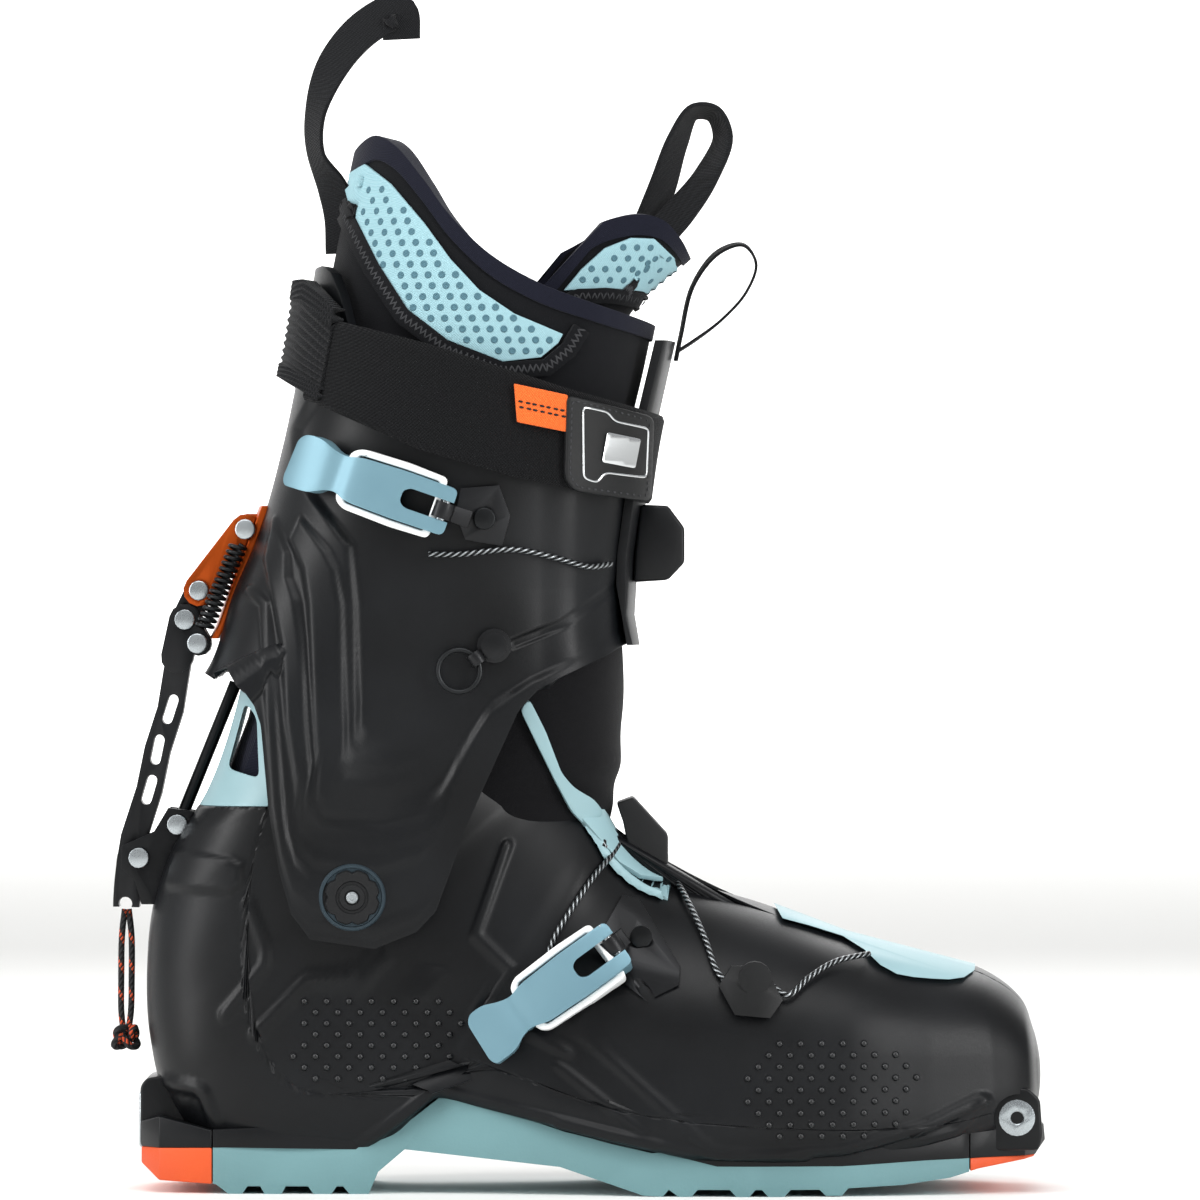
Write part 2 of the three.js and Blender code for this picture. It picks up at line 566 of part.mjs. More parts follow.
// A flat strap seen on edge: its middle line thickened in the side view, as wide as it is woven.
function ribbon(points, thickness, half, closed = false, count = 24) {
  const curve = new THREE.SplineCurve(closed ? [...points, points[0]] : points);
  const line = curve.getPoints(count);
  const shifted = (side) => line.map((p, k) => {
    const before = line[k === 0 ? (closed ? line.length - 2 : 0) : k - 1];
    const after = line[k === line.length - 1 ? (closed ? 1 : k) : k + 1];
    const along = after.clone().sub(before).normalize();
    return new THREE.Vector2(p.x - (along.y * side * thickness) / 2, p.y + (along.x * side * thickness) / 2);
  });
  if (!closed) return prism([...shifted(1), ...shifted(-1).reverse()], -half, half);
  const [outer, inner] = [shifted(1), shifted(-1)].map((ring) => prism(ring.slice(1), -half, half));
  return outer.volume() > inner.volume() ? outer.subtract(inner) : inner.subtract(outer);
}
const looseHalf = webbingWidth / 2;
add('rear_pull_loop', ribbon(all([[16.4, 306], [11.2, 322], [12.5, 340], [19, 357], [29, 369.5], [37, 371.5],
  [38.5, 362]]), webbingThickness, looseHalf), 'webbing');
add('front_pull_loop', ribbon(all([[133.6, 298.5], [137, 306], [143, 322], [146.5, 333], [141, 342], [132.5, 343.5],
  [126, 335], [119.5, 318], [114.5, 313]]), webbingThickness, looseHalf), 'webbing');
add('shin_tape_loop', ribbon(all([[128.2, 270.5], [132, 286], [140, 296.5], [148, 298.8], [152, 293], [149, 284],
  [141, 275], [132, 269.2]]), 1, 3, true), 'webbing');

// ---------------------------------------------------------------- buckles

// A buckle lies in its own frame: u runs from its hinge to the finger end, v across it.
function buckle(name, surface, hinge, towards, length, baseOutline, rivetAt, rise = 0) {
  const u = towards.clone().sub(hinge).normalize();
  const v = new THREE.Vector2(-u.y, u.x);
  const place = ([a, b]) => hinge.clone().addScaledVector(u, a).addScaledVector(v, b);
  const shape = (pairs) => lateral(pairs.map(place));
  const axis = vec(v.x, 0, v.y);
  const spin = new THREE.Quaternion().setFromUnitVectors(vec(0, 1, 0), axis);
  const reach = leverHeight + rise;
  const height = sideOf(surface(plateLift), hinge) - reach;
  const barrel = (radius, long, sides = 16) => solid(new THREE.CylinderGeometry(radius, radius, long, sides)
    .applyQuaternion(spin).translate(hinge.x, height, hinge.y));
  const half = buckleWidth / 2;
  const tongueHalf = 2.6;
  const forkHalf = tongueHalf + 0.6;
  const rail = 2.4;
  const top = reach + buckleKnuckleRadius;
  const bottom = reach - buckleKnuckleRadius + plateLift;
  const plateTop = plateLift + 1.2;
  const pinHole = barrel(bucklePinRadius + gap, 60, 14);
  const rivetHole = pin(rivetAt, 2.2, -wide, -1, 16);

  // Room in the base for both ends of the lever's knuckle, which turn beside the tongue.
  const leverRoom = barrel(buckleKnuckleRadius + gap, buckleWidth + gap * 2)
    .subtract(barrel(buckleKnuckleRadius + gap * 2, tongueHalf * 2));
  const root = rivetRadius + gap * 2 - rivetAt.distanceTo(hinge);
  const tongue = onForm(surface, shape([[root, -tongueHalf], [2, -tongueHalf], [2, tongueHalf], [root, tongueHalf]]),
    plateLift, reach);
  const baseBody = onForm(surface, lateral(baseOutline), plateLift, plateTop)
    .add(tongue)
    .add(barrel(buckleKnuckleRadius, tongueHalf * 2))
    .subtract(surface(plateLift))
    .subtract(pinHole)
    .subtract(rivetHole)
    .subtract(leverRoom);
  add(`${name}_base`, baseBody, 'steel');

  const rivetSide = sideOf(surface(plateTop), rivetAt);
  add(`${name}_rivet`, pin(rivetAt, rivetRadius, rivetSide - 2.6, rivetSide + 4, 16).subtract(surface(plateTop + gap))
    .add(pin(rivetAt, 1.8, rivetSide - 1.2, rivetSide + 6, 12).subtract(surface(plateLift))), 'steel');
  add(`${name}_pin`, barrel(bucklePinRadius, buckleWidth - 0.4, 12), 'steel');

  const forkEnd = length * 0.25;
  const leverShape = [[0, half], [length * 0.62, half], [length * 0.74, half * 0.78], [length * 0.86, half],
    [length, half * 0.8], [length, -half * 0.8], [length * 0.86, -half], [length * 0.74, -half * 0.78],
    [length * 0.62, -half], [0, -half]];
  const fork = shape([[-9, forkHalf], [forkEnd, forkHalf], [forkEnd, -forkHalf], [-9, -forkHalf]]);
  const leverBody = onForm(surface, shape(leverShape), bottom, top)
    .add(barrel(buckleKnuckleRadius, buckleWidth))
    .subtract(fork)
    .subtract(pinHole);
  add(`${name}_lever`, largest(leverBody), 'leverBlue');

  const frameEnd = length * 0.66;
  const outer = half + gap + rail;
  const frameShape = shape([[3, outer], [frameEnd, outer], [frameEnd, -outer], [3, -outer]]);
  const frameRoom = shape([[-9, half + gap], [frameEnd - rail, half + gap], [frameEnd - rail, -half - gap],
    [-9, -half - gap]]);
  const frameBody = onForm(surface, frameShape, plateTop + gap, top - 1)
    .subtract(frameRoom)
    .subtract(onForm(surface, shape(leverShape), bottom - gap, top + 9));
  add(`${name}_frame`, largest(frameBody), 'white');
}

buckle('upper_buckle', cuffForm, at(53.6, 214.1), at(5.6, 230.8), 49,
  all([[59, 221], [71, 222], [74.5, 212.5], [72, 203], [60.5, 205], [57.5, 213]]), at(66.5, 211.6));
buckle('lower_buckle', shellForm, at(106.3, 78.3), at(62.5, 46.8), 50,
  all([[109.6, 93.6], [114.6, 92.6], [127.5, 72], [127, 66], [117, 61], [108, 68], [104, 84]]), at(115.4, 80.8), lowerBuckleRise);

// ---------------------------------------------------------------- cables, guides and locks

// A cable that lies on a form, with a step about every five millimetres.
function cableOn(surface, pairs, radius = cableRadius, lift = plateLift) {
  const skinUnder = surface(lift + radius + gap);
  const points = all(pairs).map((p) => vec(p.x, sideOf(skinUnder, p), p.y));
  const length = points.slice(1).reduce((sum, p, k) => sum + p.distanceTo(points[k]), 0);
  return tube(points, radius, Math.max(3, Math.round(length / 5))).subtract(surface(lift));
}

const cuffLockOutline = all([[100, 217], [124, 216], [129.2, 209], [129.2, 198], [124, 192.5], [100, 191]]);
const cuffLockHalf = 14;
add('cuff_cable_lock', prism(cuffLockOutline, -cuffLockHalf, cuffLockHalf)
  .subtract(cuffForm(plateLift + plateThickness + gap))
  .subtract(box(0, 106 * gradeX, -wide, wide, 0, 300)), 'shellBlack');
add('cuff_cable', cableOn(cuffForm, [[49, 200.5], [58, 200.4], [76, 201.9], [90, 199], [98, 196.6]]), 'steel');

const guideAt = at(150.8, 68.4);
const guideOutline = all([[139.5, 66], [143.5, 72], [154, 72], [159.5, 61.5], [155.5, 56], [144.5, 57]]);
const guideSide = sideOf(shellForm(plateLift + 4.5), guideAt);
add('cable_guide', onForm(shellForm, lateral(guideOutline), plateLift, plateLift + 4.5)
  .add(pin(guideAt, 5.2, guideSide - 2.4, guideSide + 2, 16)), 'shellBlack');
add('instep_cable_front', cableOn(shellForm, [[126, 97], [131, 90], [135.5, 80], [138, 70.5]]), 'steel');
add('instep_cable_rear', cableOn(shellForm, [[107, 106], [101, 103], [94, 95], [89, 86], [86, 78]]), 'steel');
const anchorAt = at(186, 75.2);
const toeLift = plateLift + toeOverlapThickness + gap;
const anchorSide = sideOf(shellForm(toeLift + cableRadius + gap), anchorAt);
add('toe_cable', cableOn(shellForm, [[161, 63], [168, 68.5], [176, 73], [186, 75.2]], cableRadius, toeLift)
  .add(pin(anchorAt, 3, anchorSide - 2.2, anchorSide + 6, 12).subtract(shellForm(toeLift))), 'steel');
const flapOutline = all([[101, 108], [105, 121], [113, 124], [124, 112], [124, 99], [113, 96]]);
add('instep_flap', prism(flapOutline, -16, 16).subtract(shellForm(gap + 0.2))
  .subtract(across(disc(pivot, gaiterRadius + gaiterThickness + gap, 48))), 'fabric');

// ---------------------------------------------------------------- ring on the cuff

const ringRivetAt = at(69.5, 171.9);
const ringAt = at(58.6, 164.1);
const ringRadius = 6.6;
const ringWire = 0.8;
const ringLine = ringRivetAt.clone().sub(ringAt).normalize();
const ringPoint = ringAt.clone().addScaledVector(ringLine, ringRadius);
const ringTangent = vec(-ringLine.y, 0, ringLine.x);
const knuckleRadius = 2.5;
const ringSide = Math.min(sideOf(cuffForm(plateLift), ringAt), sideOf(cuffForm(plateLift), ringPoint))
  - knuckleRadius;
const ringSpin = new THREE.Quaternion().setFromUnitVectors(vec(0, 1, 0), ringTangent);
const knuckle = (radius, long, sides) => solid(new THREE.CylinderGeometry(radius, radius, long, sides)
  .applyQuaternion(ringSpin).translate(ringPoint.x, ringSide, ringPoint.y));
const ringRivetSide = sideOf(cuffForm(plateLift + 1.6), ringRivetAt);
add('ring_tab', onForm(cuffForm, lateral(disc(ringRivetAt, 5.4, 16)), plateLift, plateLift + 1.6)
  .add(knuckle(knuckleRadius, 4, 14))
  .add(onForm(cuffForm, lateral(disc(ringPoint, 2.6, 12)), plateLift, plateLift + 2))
  .add(pin(ringRivetAt, 4.1, ringRivetSide - 1.9, ringRivetSide + 1, 16))
  .subtract(cuffForm(plateLift))
  .subtract(knuckle(ringWire + 0.75, 20, 12)), 'steel');
add('d_ring', solid(new THREE.TorusGeometry(ringRadius, ringWire, 8, 24).rotateX(Math.PI / 2)
  .translate(ringAt.x, ringSide, ringAt.y)), 'steel');

// ---------------------------------------------------------------- walk mechanism behind the cuff

const boltOne = at(-9.5, 208.5);
const boltTwo = at(-24.4, 189.2);
const leverPivot = at(-28.9, 180);
const springPost = at(-24.6, 172.5);
const linkHalf = 4.4;
const plateInner = linkHalf + gap;
const plateOuter = plateInner + 2.4;

function capsule(from, to, radius, low, high, count = 6) {
  const angle = THREE.MathUtils.radToDeg(Math.atan2(to.y - from.y, to.x - from.x));
  return prism([...arc(to, radius, angle - 90, angle + 90, count), ...arc(from, radius, angle + 90, angle + 270, count)],
    low, high);
}
const bore = (centre) => pin(centre, boltRadius + gap, -wide, wide, 14);

add('link_carrier', onForm(cuffForm, prism(all([[-30, 174], [9, 174], [9, 216], [-30, 216]]), -10, 10), plateLift,
  plateLift + 2.2)
  .add(prism(all([[-9.5, 213.5], [2, 213.5], [-4, 190], [-13, 198], [-15, 207]]), -linkHalf, linkHalf))
  .subtract(cuffForm(plateLift))
  .subtract(pin(boltOne, boltHeadRadius + gap, plateInner, wide))
  .subtract(pin(boltOne, boltHeadRadius + gap, -wide, -plateInner))
  .subtract(bore(boltOne)), 'shellBlack');
for (const [name, low, high] of [
  ['link_plate_lateral', -plateOuter, -plateInner],
  ['link_plate_medial', plateInner, plateOuter],
]) {
  add(name, capsule(boltTwo, boltOne, 5, low, high)
    .subtract(cuffForm(plateLift + 2.2 + gap))
    .subtract(bore(boltOne))
    .subtract(bore(boltTwo)), 'anodised');
}
add('lever_link', capsule(leverPivot, boltTwo, 4.4, -linkHalf + gap, linkHalf - gap)
  .subtract(bore(boltTwo))
  .subtract(bore(leverPivot)), 'shellBlack');

const cheekInner = linkHalf + gap;
const cheekOuter = cheekInner + 2.2;
const springY = -12.6;
const springRadius = 2;
const leverSpine = smooth(all([[-30.8, 169.5], [-33.6, 151.6], [-37.7, 138.8], [-40.3, 126.1], [-45.2, 111],
  [-47.2, 96.7], [-47.6, 89]]), 12);
function leverSide(line, half) {
  const edge = (side) => line.map((p, k) => {
    const along = line[Math.min(k + 1, line.length - 1)].clone().sub(line[Math.max(k - 1, 0)]).normalize();
    return new THREE.Vector2(p.x - along.y * side * half, p.y + along.x * side * half);
  });
  return [...edge(1), ...edge(-1).reverse()];
}
const barHalf = 4.1;
const slots = all([[-33.6, 151.6], [-37.7, 138.8], [-40.3, 126.1]]);
const slotLong = 4.85;
const slotHalf = 1.7;
const eyeAt = at(-47.8, 90);
const cheekShape = capsule(at(-31.5, 168), leverPivot, 5, -cheekOuter, cheekOuter)
  .add(capsule(springPost, leverPivot, 4, -cheekOuter, cheekOuter))
  .subtract(box(-99, 99, -cheekInner, cheekInner, 173.2 * gradeZ, 299))
  .subtract(pin(leverPivot, 7, -cheekInner, cheekInner, 20));
let walkLever = prism(leverSide(leverSpine, barHalf), -leverThickness / 2, leverThickness / 2).add(cheekShape);
slots.forEach((centre, k) => {
  const next = slots[k + 1] ?? at(-44, 113.5);
  const along = next.clone().sub(centre).normalize().multiplyScalar(slotLong - slotHalf);
  walkLever = walkLever.subtract(
    capsule(centre.clone().sub(along), centre.clone().add(along), slotHalf, -wide, wide),
  );
});
walkLever = walkLever.subtract(bore(leverPivot)).subtract(bore(springPost)).subtract(pin(eyeAt, 2.2, -wide, wide));
add('walk_lever', largest(walkLever), 'shellBlack');

add('link_bolt_upper', bolt(boltOne, springY - springRadius - gap, plateOuter + gap), 'steel');
add('link_bolt_lower', bolt(boltTwo, -plateOuter - gap, plateOuter + gap), 'steel');
add('lever_pivot_bolt', bolt(leverPivot, -cheekOuter - gap, cheekOuter + gap), 'steel');
add('spring_post', bolt(springPost, springY - springRadius - gap, cheekOuter + gap), 'steel');

const springLine = springPost.clone().sub(boltOne).normalize();
const springEnd = boltRadius + gap;
const springFrom = boltOne.clone().addScaledVector(springLine, springEnd);
const springTo = springPost.clone().addScaledVector(springLine, -springEnd);
add('lever_spring', tube([vec(springFrom.x, springY, springFrom.y), vec(springTo.x, springY, springTo.y)],
  springRadius, 1, 12), 'steel');

// Pull cord that hangs from the eye of the lever: two strands joined in a knot.
const cordTop = at(-47.6, 84.2);
const cordKnot = at(-47.9, 49);
const knotRadius = 4.6;
const strandSpread = 1.4;
let pullCord = solid(new THREE.SphereGeometry(knotRadius, 12, 8).translate(cordKnot.x, 0, cordKnot.y));
for (const side of [-1, 1]) {
  const top = vec(cordTop.x + side * strandSpread, 0, cordTop.y);
  const low = vec(cordKnot.x + side * strandSpread, 0, cordKnot.y);
  pullCord = pullCord.add(tube([top, top.clone().lerp(low, 0.5), low], cordRadius, 6));
}
add('pull_cord', pullCord, 'webbing');

export default boot;
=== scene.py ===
# %% [markdown]
# # An alpine touring boot
# The boot is a hard lower shell, a hard cuff that pivots on it, a soft liner inside both, and the
# metal and webbing that close them. The frame that is loaded first holds every part's place and
# every joint. All that this script adds is the look: finer surfaces, cloth, webbing and finishes.

# %% Load the frame and keep its box
import math

import bmesh
import bpy
import numpy as np
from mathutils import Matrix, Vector
from mathutils.bvhtree import BVHTree
from mathutils.geometry import delaunay_2d_cdt


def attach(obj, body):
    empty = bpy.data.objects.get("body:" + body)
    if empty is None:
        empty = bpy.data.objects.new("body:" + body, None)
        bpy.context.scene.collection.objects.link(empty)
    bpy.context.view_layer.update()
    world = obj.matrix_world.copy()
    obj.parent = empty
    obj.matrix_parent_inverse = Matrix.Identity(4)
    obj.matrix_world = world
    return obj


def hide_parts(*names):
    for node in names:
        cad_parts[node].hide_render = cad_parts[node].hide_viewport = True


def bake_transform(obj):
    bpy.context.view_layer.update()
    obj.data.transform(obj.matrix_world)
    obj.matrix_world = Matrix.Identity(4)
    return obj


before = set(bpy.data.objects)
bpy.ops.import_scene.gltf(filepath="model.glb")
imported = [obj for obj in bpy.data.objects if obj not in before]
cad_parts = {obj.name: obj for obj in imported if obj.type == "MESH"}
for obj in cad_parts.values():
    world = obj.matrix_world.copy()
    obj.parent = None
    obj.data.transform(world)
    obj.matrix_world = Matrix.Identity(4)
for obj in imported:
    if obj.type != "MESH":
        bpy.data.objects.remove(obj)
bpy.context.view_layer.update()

MM = 0.001

# %% [markdown]
# ## Camera, light and floor
# A long lens from the side keeps the sole straight. Three large soft lamps round a matt boot:
# one high and broad for the tops, one from the toe and one from the heel for the edges.

# %% Camera, lamps and floor
VIEW_MIDDLE = Vector((0.1025, 0.0, 0.1862))
VIEW_HEIGHT = 0.375
CAMERA_DISTANCE = 3.0


def make_camera():
    data = bpy.data.cameras.new("camera")
    data.sensor_width = 36.0
    data.lens = data.sensor_width * CAMERA_DISTANCE / VIEW_HEIGHT
    camera = bpy.data.objects.new("camera", data)
    bpy.context.collection.objects.link(camera)
    camera.location = VIEW_MIDDLE + Vector((0, -CAMERA_DISTANCE - 0.045, 0.0))
    camera.rotation_euler = (math.radians(90), 0, 0)
    bpy.context.scene.camera = camera


def make_lamp(name, place, aim, size, power):
    data = bpy.data.lights.new(name, "AREA")
    data.shape = "RECTANGLE"
    data.size, data.size_y = size
    data.energy = power
    lamp = bpy.data.objects.new(name, data)
    bpy.context.collection.objects.link(lamp)
    lamp.location = place
    lamp.rotation_euler = (Vector(aim) - Vector(place)).to_track_quat("-Z", "Y").to_euler()


make_camera()
make_lamp("lamp_top", (0.1, -0.8, 1.4), (0.1, 0, 0.15), (1.2, 0.8), 11)
make_lamp("lamp_toe", (1.2, -1.0, 0.5), (0.1, 0, 0.12), (0.35, 1.2), 15)
make_lamp("lamp_heel", (-1.1, -0.5, 0.6), (0.05, 0, 0.15), (0.35, 1.3), 13)
make_lamp("lamp_back", (0.1, 1.3, 1.1), (0.1, 0, 0.15), (1.4, 1.0), 10)
bpy.context.scene.view_settings.view_transform = "Standard"

# %% [markdown]
# ## Small tools
# Colours are written as sRGB hex, the way a paint chart gives them, and turned to linear here.
# One function adds a shader node, sets it and links it.


# %% Colour, nodes and materials
def linear(colour):
    channels = [int(colour[k:k + 2], 16) / 255 for k in (1, 3, 5)]
    return [c / 12.92 if c <= 0.04045 else ((c + 0.055) / 1.055) ** 2.4 for c in channels] + [1.0]


def node(tree, kind, inputs=None, **settings):
    made = tree.nodes.new(kind)
    for key, value in settings.items():
        setattr(made, key, value)
    for key, value in (inputs or {}).items():
        if isinstance(value, bpy.types.NodeSocket):
            tree.links.new(value, made.inputs[key])
        else:
            made.inputs[key].default_value = value
    return made


def material(name, colour, roughness, metallic=0.0, detail=None, **sockets):
    made = bpy.data.materials.new(name)
    made.use_nodes = True
    tree = made.node_tree
    shader = tree.nodes["Principled BSDF"]
    shader.inputs["Base Color"].default_value = linear(colour)
    shader.inputs["Roughness"].default_value = roughness
    shader.inputs["Metallic"].default_value = metallic
    for key, value in sockets.items():
        shader.inputs[key.replace("_", " ")].default_value = value
    made.diffuse_color = linear(colour)
    if detail:
        coordinates = node(tree, "ShaderNodeTexCoord")
        detail(tree, shader, coordinates)
    return made


def noise(tree, vector, size_mm, detail=3.0, stretch=None):
    if stretch:
        vector = node(tree, "ShaderNodeMapping", {"Vector": vector, "Scale": stretch}).outputs[0]
    return node(tree, "ShaderNodeTexNoise",
                {"Vector": vector, "Scale": 1000.0 / size_mm, "Detail": detail}).outputs["Fac"]


def ramp(tree, value, low, high, first, last):
    return node(tree, "ShaderNodeMapRange", {
        "Value": value, "From Min": low, "From Max": high, "To Min": first, "To Max": last,
    }).outputs[0]


def mix(tree, factor, first, second):
    made = node(tree, "ShaderNodeMix", data_type="RGBA")
    colour_slots = [s for s in made.inputs if s.type == "RGBA"]
    for socket, value in zip(colour_slots, (first, second)):
        if isinstance(value, bpy.types.NodeSocket):
            tree.links.new(value, socket)
        else:
            socket.default_value = linear(value)
    tree.links.new(factor, made.inputs["Factor"])
    return [s for s in made.outputs if s.type == "RGBA"][0]


def bump(tree, shader, height, depth_mm, strength=1.0):
    made = node(tree, "ShaderNodeBump", {
        "Height": height, "Distance": depth_mm * MM, "Strength": strength,
    })
    tree.links.new(made.outputs[0], shader.inputs["Normal"])
    return made


def maths(tree, operation, first, second=0.0):
    made = node(tree, "ShaderNodeMath", operation=operation)
    for socket, value in zip(made.inputs, (first, second)):
        if isinstance(value, bpy.types.NodeSocket):
            tree.links.new(value, socket)
        else:
            socket.default_value = value
    return made.outputs[0]


# %% [markdown]
# ## Finishes
# Moulded plastic is never one flat colour: the tool is blasted, so the skin has a fine grain, and
# handling polishes it in broad soft patches. The same two noises, fine for the grain and broad
# for the polish, make every hard finish here.


# %% Hard finishes
def moulded(light, grain_mm=0.5, depth_mm=0.02, polish=(0.36, 0.5), broad_mm=45.0):
    def detail(tree, shader, coordinates):
        where = coordinates.outputs["Object"]
        broad = noise(tree, where, broad_mm, 3.0)
        grain = noise(tree, where, grain_mm, 2.0)
        tint = mix(tree, ramp(tree, broad, 0.35, 0.7, 0.0, 1.0), shader_hex[shader.id_data], light)
        tree.links.new(tint, shader.inputs["Base Color"])
        spread = maths(tree, "ADD", ramp(tree, broad, 0.3, 0.7, polish[0], polish[1]),
                       ramp(tree, grain, 0.3, 0.7, -0.04, 0.04))
        tree.links.new(spread, shader.inputs["Roughness"])
        bump(tree, shader, grain, depth_mm)
    return detail


shader_hex = {}


def moulded_material(name, colour, light, roughness=0.45, metallic=0.0, grain=0.5, depth=0.02,
                     polish=(0.36, 0.5), **sockets):
    def detail(tree, shader, coordinates):
        shader_hex[tree] = colour
        moulded(light, grain, depth, polish)(tree, shader, coordinates)
    return material(name, colour, roughness, metallic, detail, **sockets)


black_nylon = moulded_material("black_nylon_moulded", "#08090b", "#0e1013", depth=0.02,
                               polish=(0.34, 0.46),
                               Specular_IOR_Level=0.24)
pale_blue_nylon = moulded_material("pale_blue_nylon_moulded", "#8babb1", "#94b3b9",
                                   polish=(0.4, 0.55))
white_plastic = moulded_material("white_acetal_moulded", "#e6e8e8", "#f2f3f2", polish=(0.3, 0.42))
sole_rubber_blue = moulded_material("blue_grey_sole_rubber", "#5f8488", "#6a9094", grain=0.8,
                                    depth=0.05, polish=(0.6, 0.78))
sole_rubber_orange = moulded_material("orange_sole_rubber", "#cb4610", "#d85518", grain=0.8,
                                      depth=0.05, polish=(0.5, 0.68))
blue_anodised = moulded_material("blue_anodised_forging", "#668a98", "#7195a2", metallic=0.35,
                                 grain=0.3, depth=0.012, polish=(0.34, 0.46))
black_anodised = moulded_material("black_anodised_plate", "#131416", "#1b1c1f", metallic=0.5,
                                  grain=0.3, depth=0.012, polish=(0.34, 0.46))
orange_anodised = moulded_material("orange_anodised_plate", "#a5430c", "#b94e0f", metallic=0.8,
                                   grain=0.3, depth=0.012, polish=(0.26, 0.4))
zinc_steel = moulded_material("zinc_plated_steel", "#a9b0b4", "#c3c9cc", metallic=1.0, grain=0.4,
                              depth=0.01, polish=(0.22, 0.38))
dark_steel = moulded_material("blackened_spring_steel", "#1c1d1e", "#2c2e30", metallic=0.8,
                              grain=0.3, depth=0.01, polish=(0.3, 0.42))

# %% [markdown]
# ## The forms
# Shell, cuff and liner are fans of closed rings, the same as in the frame: each ring runs from a
# front point to a rear point, has a half width, narrows a little towards the front, and is more
# or less square. The frame samples them coarsely for its solids, and here they are sampled finely.


# %% Fans of rings
def spline(points, t):
    """A centripetal Catmull-Rom curve through points, read at t from 0 to 1."""
    points = np.asarray(points, float)
    ends = (2 * points[0] - points[1], 2 * points[-1] - points[-2])
    padded = np.vstack([ends[0], points, ends[1]])
    last = len(points) - 1
    place = np.clip(np.asarray(t, float) * last, 0, last)
    start = np.minimum(place.astype(int), last - 1)
    u = (place - start)[..., None]
    p0, p1, p2, p3 = (padded[start + k] for k in range(4))
    steps = [np.maximum(np.linalg.norm(b - a, axis=-1, keepdims=True) ** 0.5, 1e-4)
             for a, b in ((p0, p1), (p1, p2), (p2, p3))]
    m1 = ((p1 - p0) / steps[0] - (p2 - p0) / (steps[0] + steps[1]) + (p2 - p1) / steps[1]) * steps[1]
    m2 = ((p2 - p1) / steps[1] - (p3 - p1) / (steps[1] + steps[2]) + (p3 - p2) / steps[2]) * steps[1]
    a = 2 * p1 - 2 * p2 + m1 + m2
    b = -3 * p1 + 3 * p2 - 2 * m1 - m2
    return ((a * u + b) * u + m1) * u + p1


class Fan:
    """Rows are front x, z, rear x, z, half width, narrowing, squareness front and rear, shift."""

    def __init__(self, rows):
        self.rows = np.array(rows, float)

    def at(self, t, angle, grow=0.0):
        """Points in mm at t along the fan and angle round it: 0 front, -90 degrees lateral."""
        rows = self.rows
        shift = rows[:, 8:9]
        front = spline(np.hstack([rows[:, 0:1], shift, rows[:, 1:2]]), t)
        rear = spline(np.hstack([rows[:, 2:3], shift, rows[:, 3:4]]), t)
        form = spline(rows[:, 4:6], t)
        square = spline(rows[:, 6:8], t)
        middle, reach = (front + rear) / 2, (front - rear) / 2
        length = np.linalg.norm(reach, axis=-1)
        c, s = np.cos(angle), np.sin(angle)
        power = 2 / np.where(c > 0, square[..., 0], square[..., 1])
        run = np.sign(c) * np.abs(c) ** power * (length + grow)
        side = np.sign(s) * np.abs(s) ** power * (form[..., 0] * (1 + form[..., 1] * c) + grow)
        points = middle + reach / length[..., None] * run[..., None]
        points[..., 1] += side
        return points


shell_fan = Fan([
    [240, 50, 241, 27, 22, 0, 2.4, 2.6, 2],
    [236, 60, 238, 21, 34, -0.04, 2.4, 3.5, 3],
    [224, 69, 226, 16, 42, -0.06, 2.4, 4.5, 4],
    [205, 74, 206, 11.5, 48, -0.08, 2.4, 5, 3],
    [181, 80, 180, 9, 53, -0.1, 2.4, 5, 1],
    [154, 90, 148, 8.5, 54, -0.16, 2.3, 5, 0],
    [132, 96.5, 118, 10.5, 51, -0.22, 2.3, 5, -1],
    [119, 101, 90, 16.5, 46.5, -0.22, 2.3, 5, 0],
    [111, 108, 66, 23, 44, -0.18, 2.3, 4.5, 0],
    [106, 116, 50, 26, 42.5, -0.12, 2.3, 4.5, 0],
    [102, 122, 31, 11, 41.5, -0.06, 2.3, 4.5, 0],
    [97, 128, 5, 9.5, 41, -0.03, 2.3, 4.5, 0],
    [93, 133, -17, 10.5, 40.5, 0, 2.3, 4, 0],
    [90, 138, -34, 27, 40, 0.02, 2.3, 3.4, 0],
    [87, 143, -40, 48, 40, 0.03, 2.3, 3, 0],
    [84.5, 148, -41, 70, 40.5, 0.03, 2.4, 2.8, 0],
    [82.5, 151.5, -39, 90, 41, 0.02, 2.4, 2.6, 0],
    [81, 155, -33, 108, 41, 0, 2.4, 2.5, 0],
    [79, 160, -22, 126, 40.5, 0, 2.4, 2.5, 0],
    [76, 168, -14, 148, 40, 0, 2.4, 2.5, 0],
    [73, 180, -8, 176, 39, 0, 2.4, 2.4, 0],
])
cuff_fan = Fan([
    [128, 58, -72, 58, 49.5, 0, 4.5, 4.5, 0],
    [126, 110, -66, 110, 49.5, 0, 4.5, 4.5, 0],
    [120, 146, -42, 142, 49.5, 0, 3.8, 3.6, 0],
    [111.5, 171, -21.5, 165, 49.5, 0, 3, 2.8, 0],
    [111, 190, -14, 188, 50, 0, 2.6, 2.5, 0],
    [113.5, 214, -5.5, 208, 51, 0, 2.5, 2.4, 0],
    [117, 238, 2, 235, 52, 0, 2.4, 2.4, 0],
    [122, 260, 7.5, 262, 53, 0, 2.4, 2.4, 0],
    [128, 290, 14, 302, 54, 0, 2.4, 2.4, 0],
])
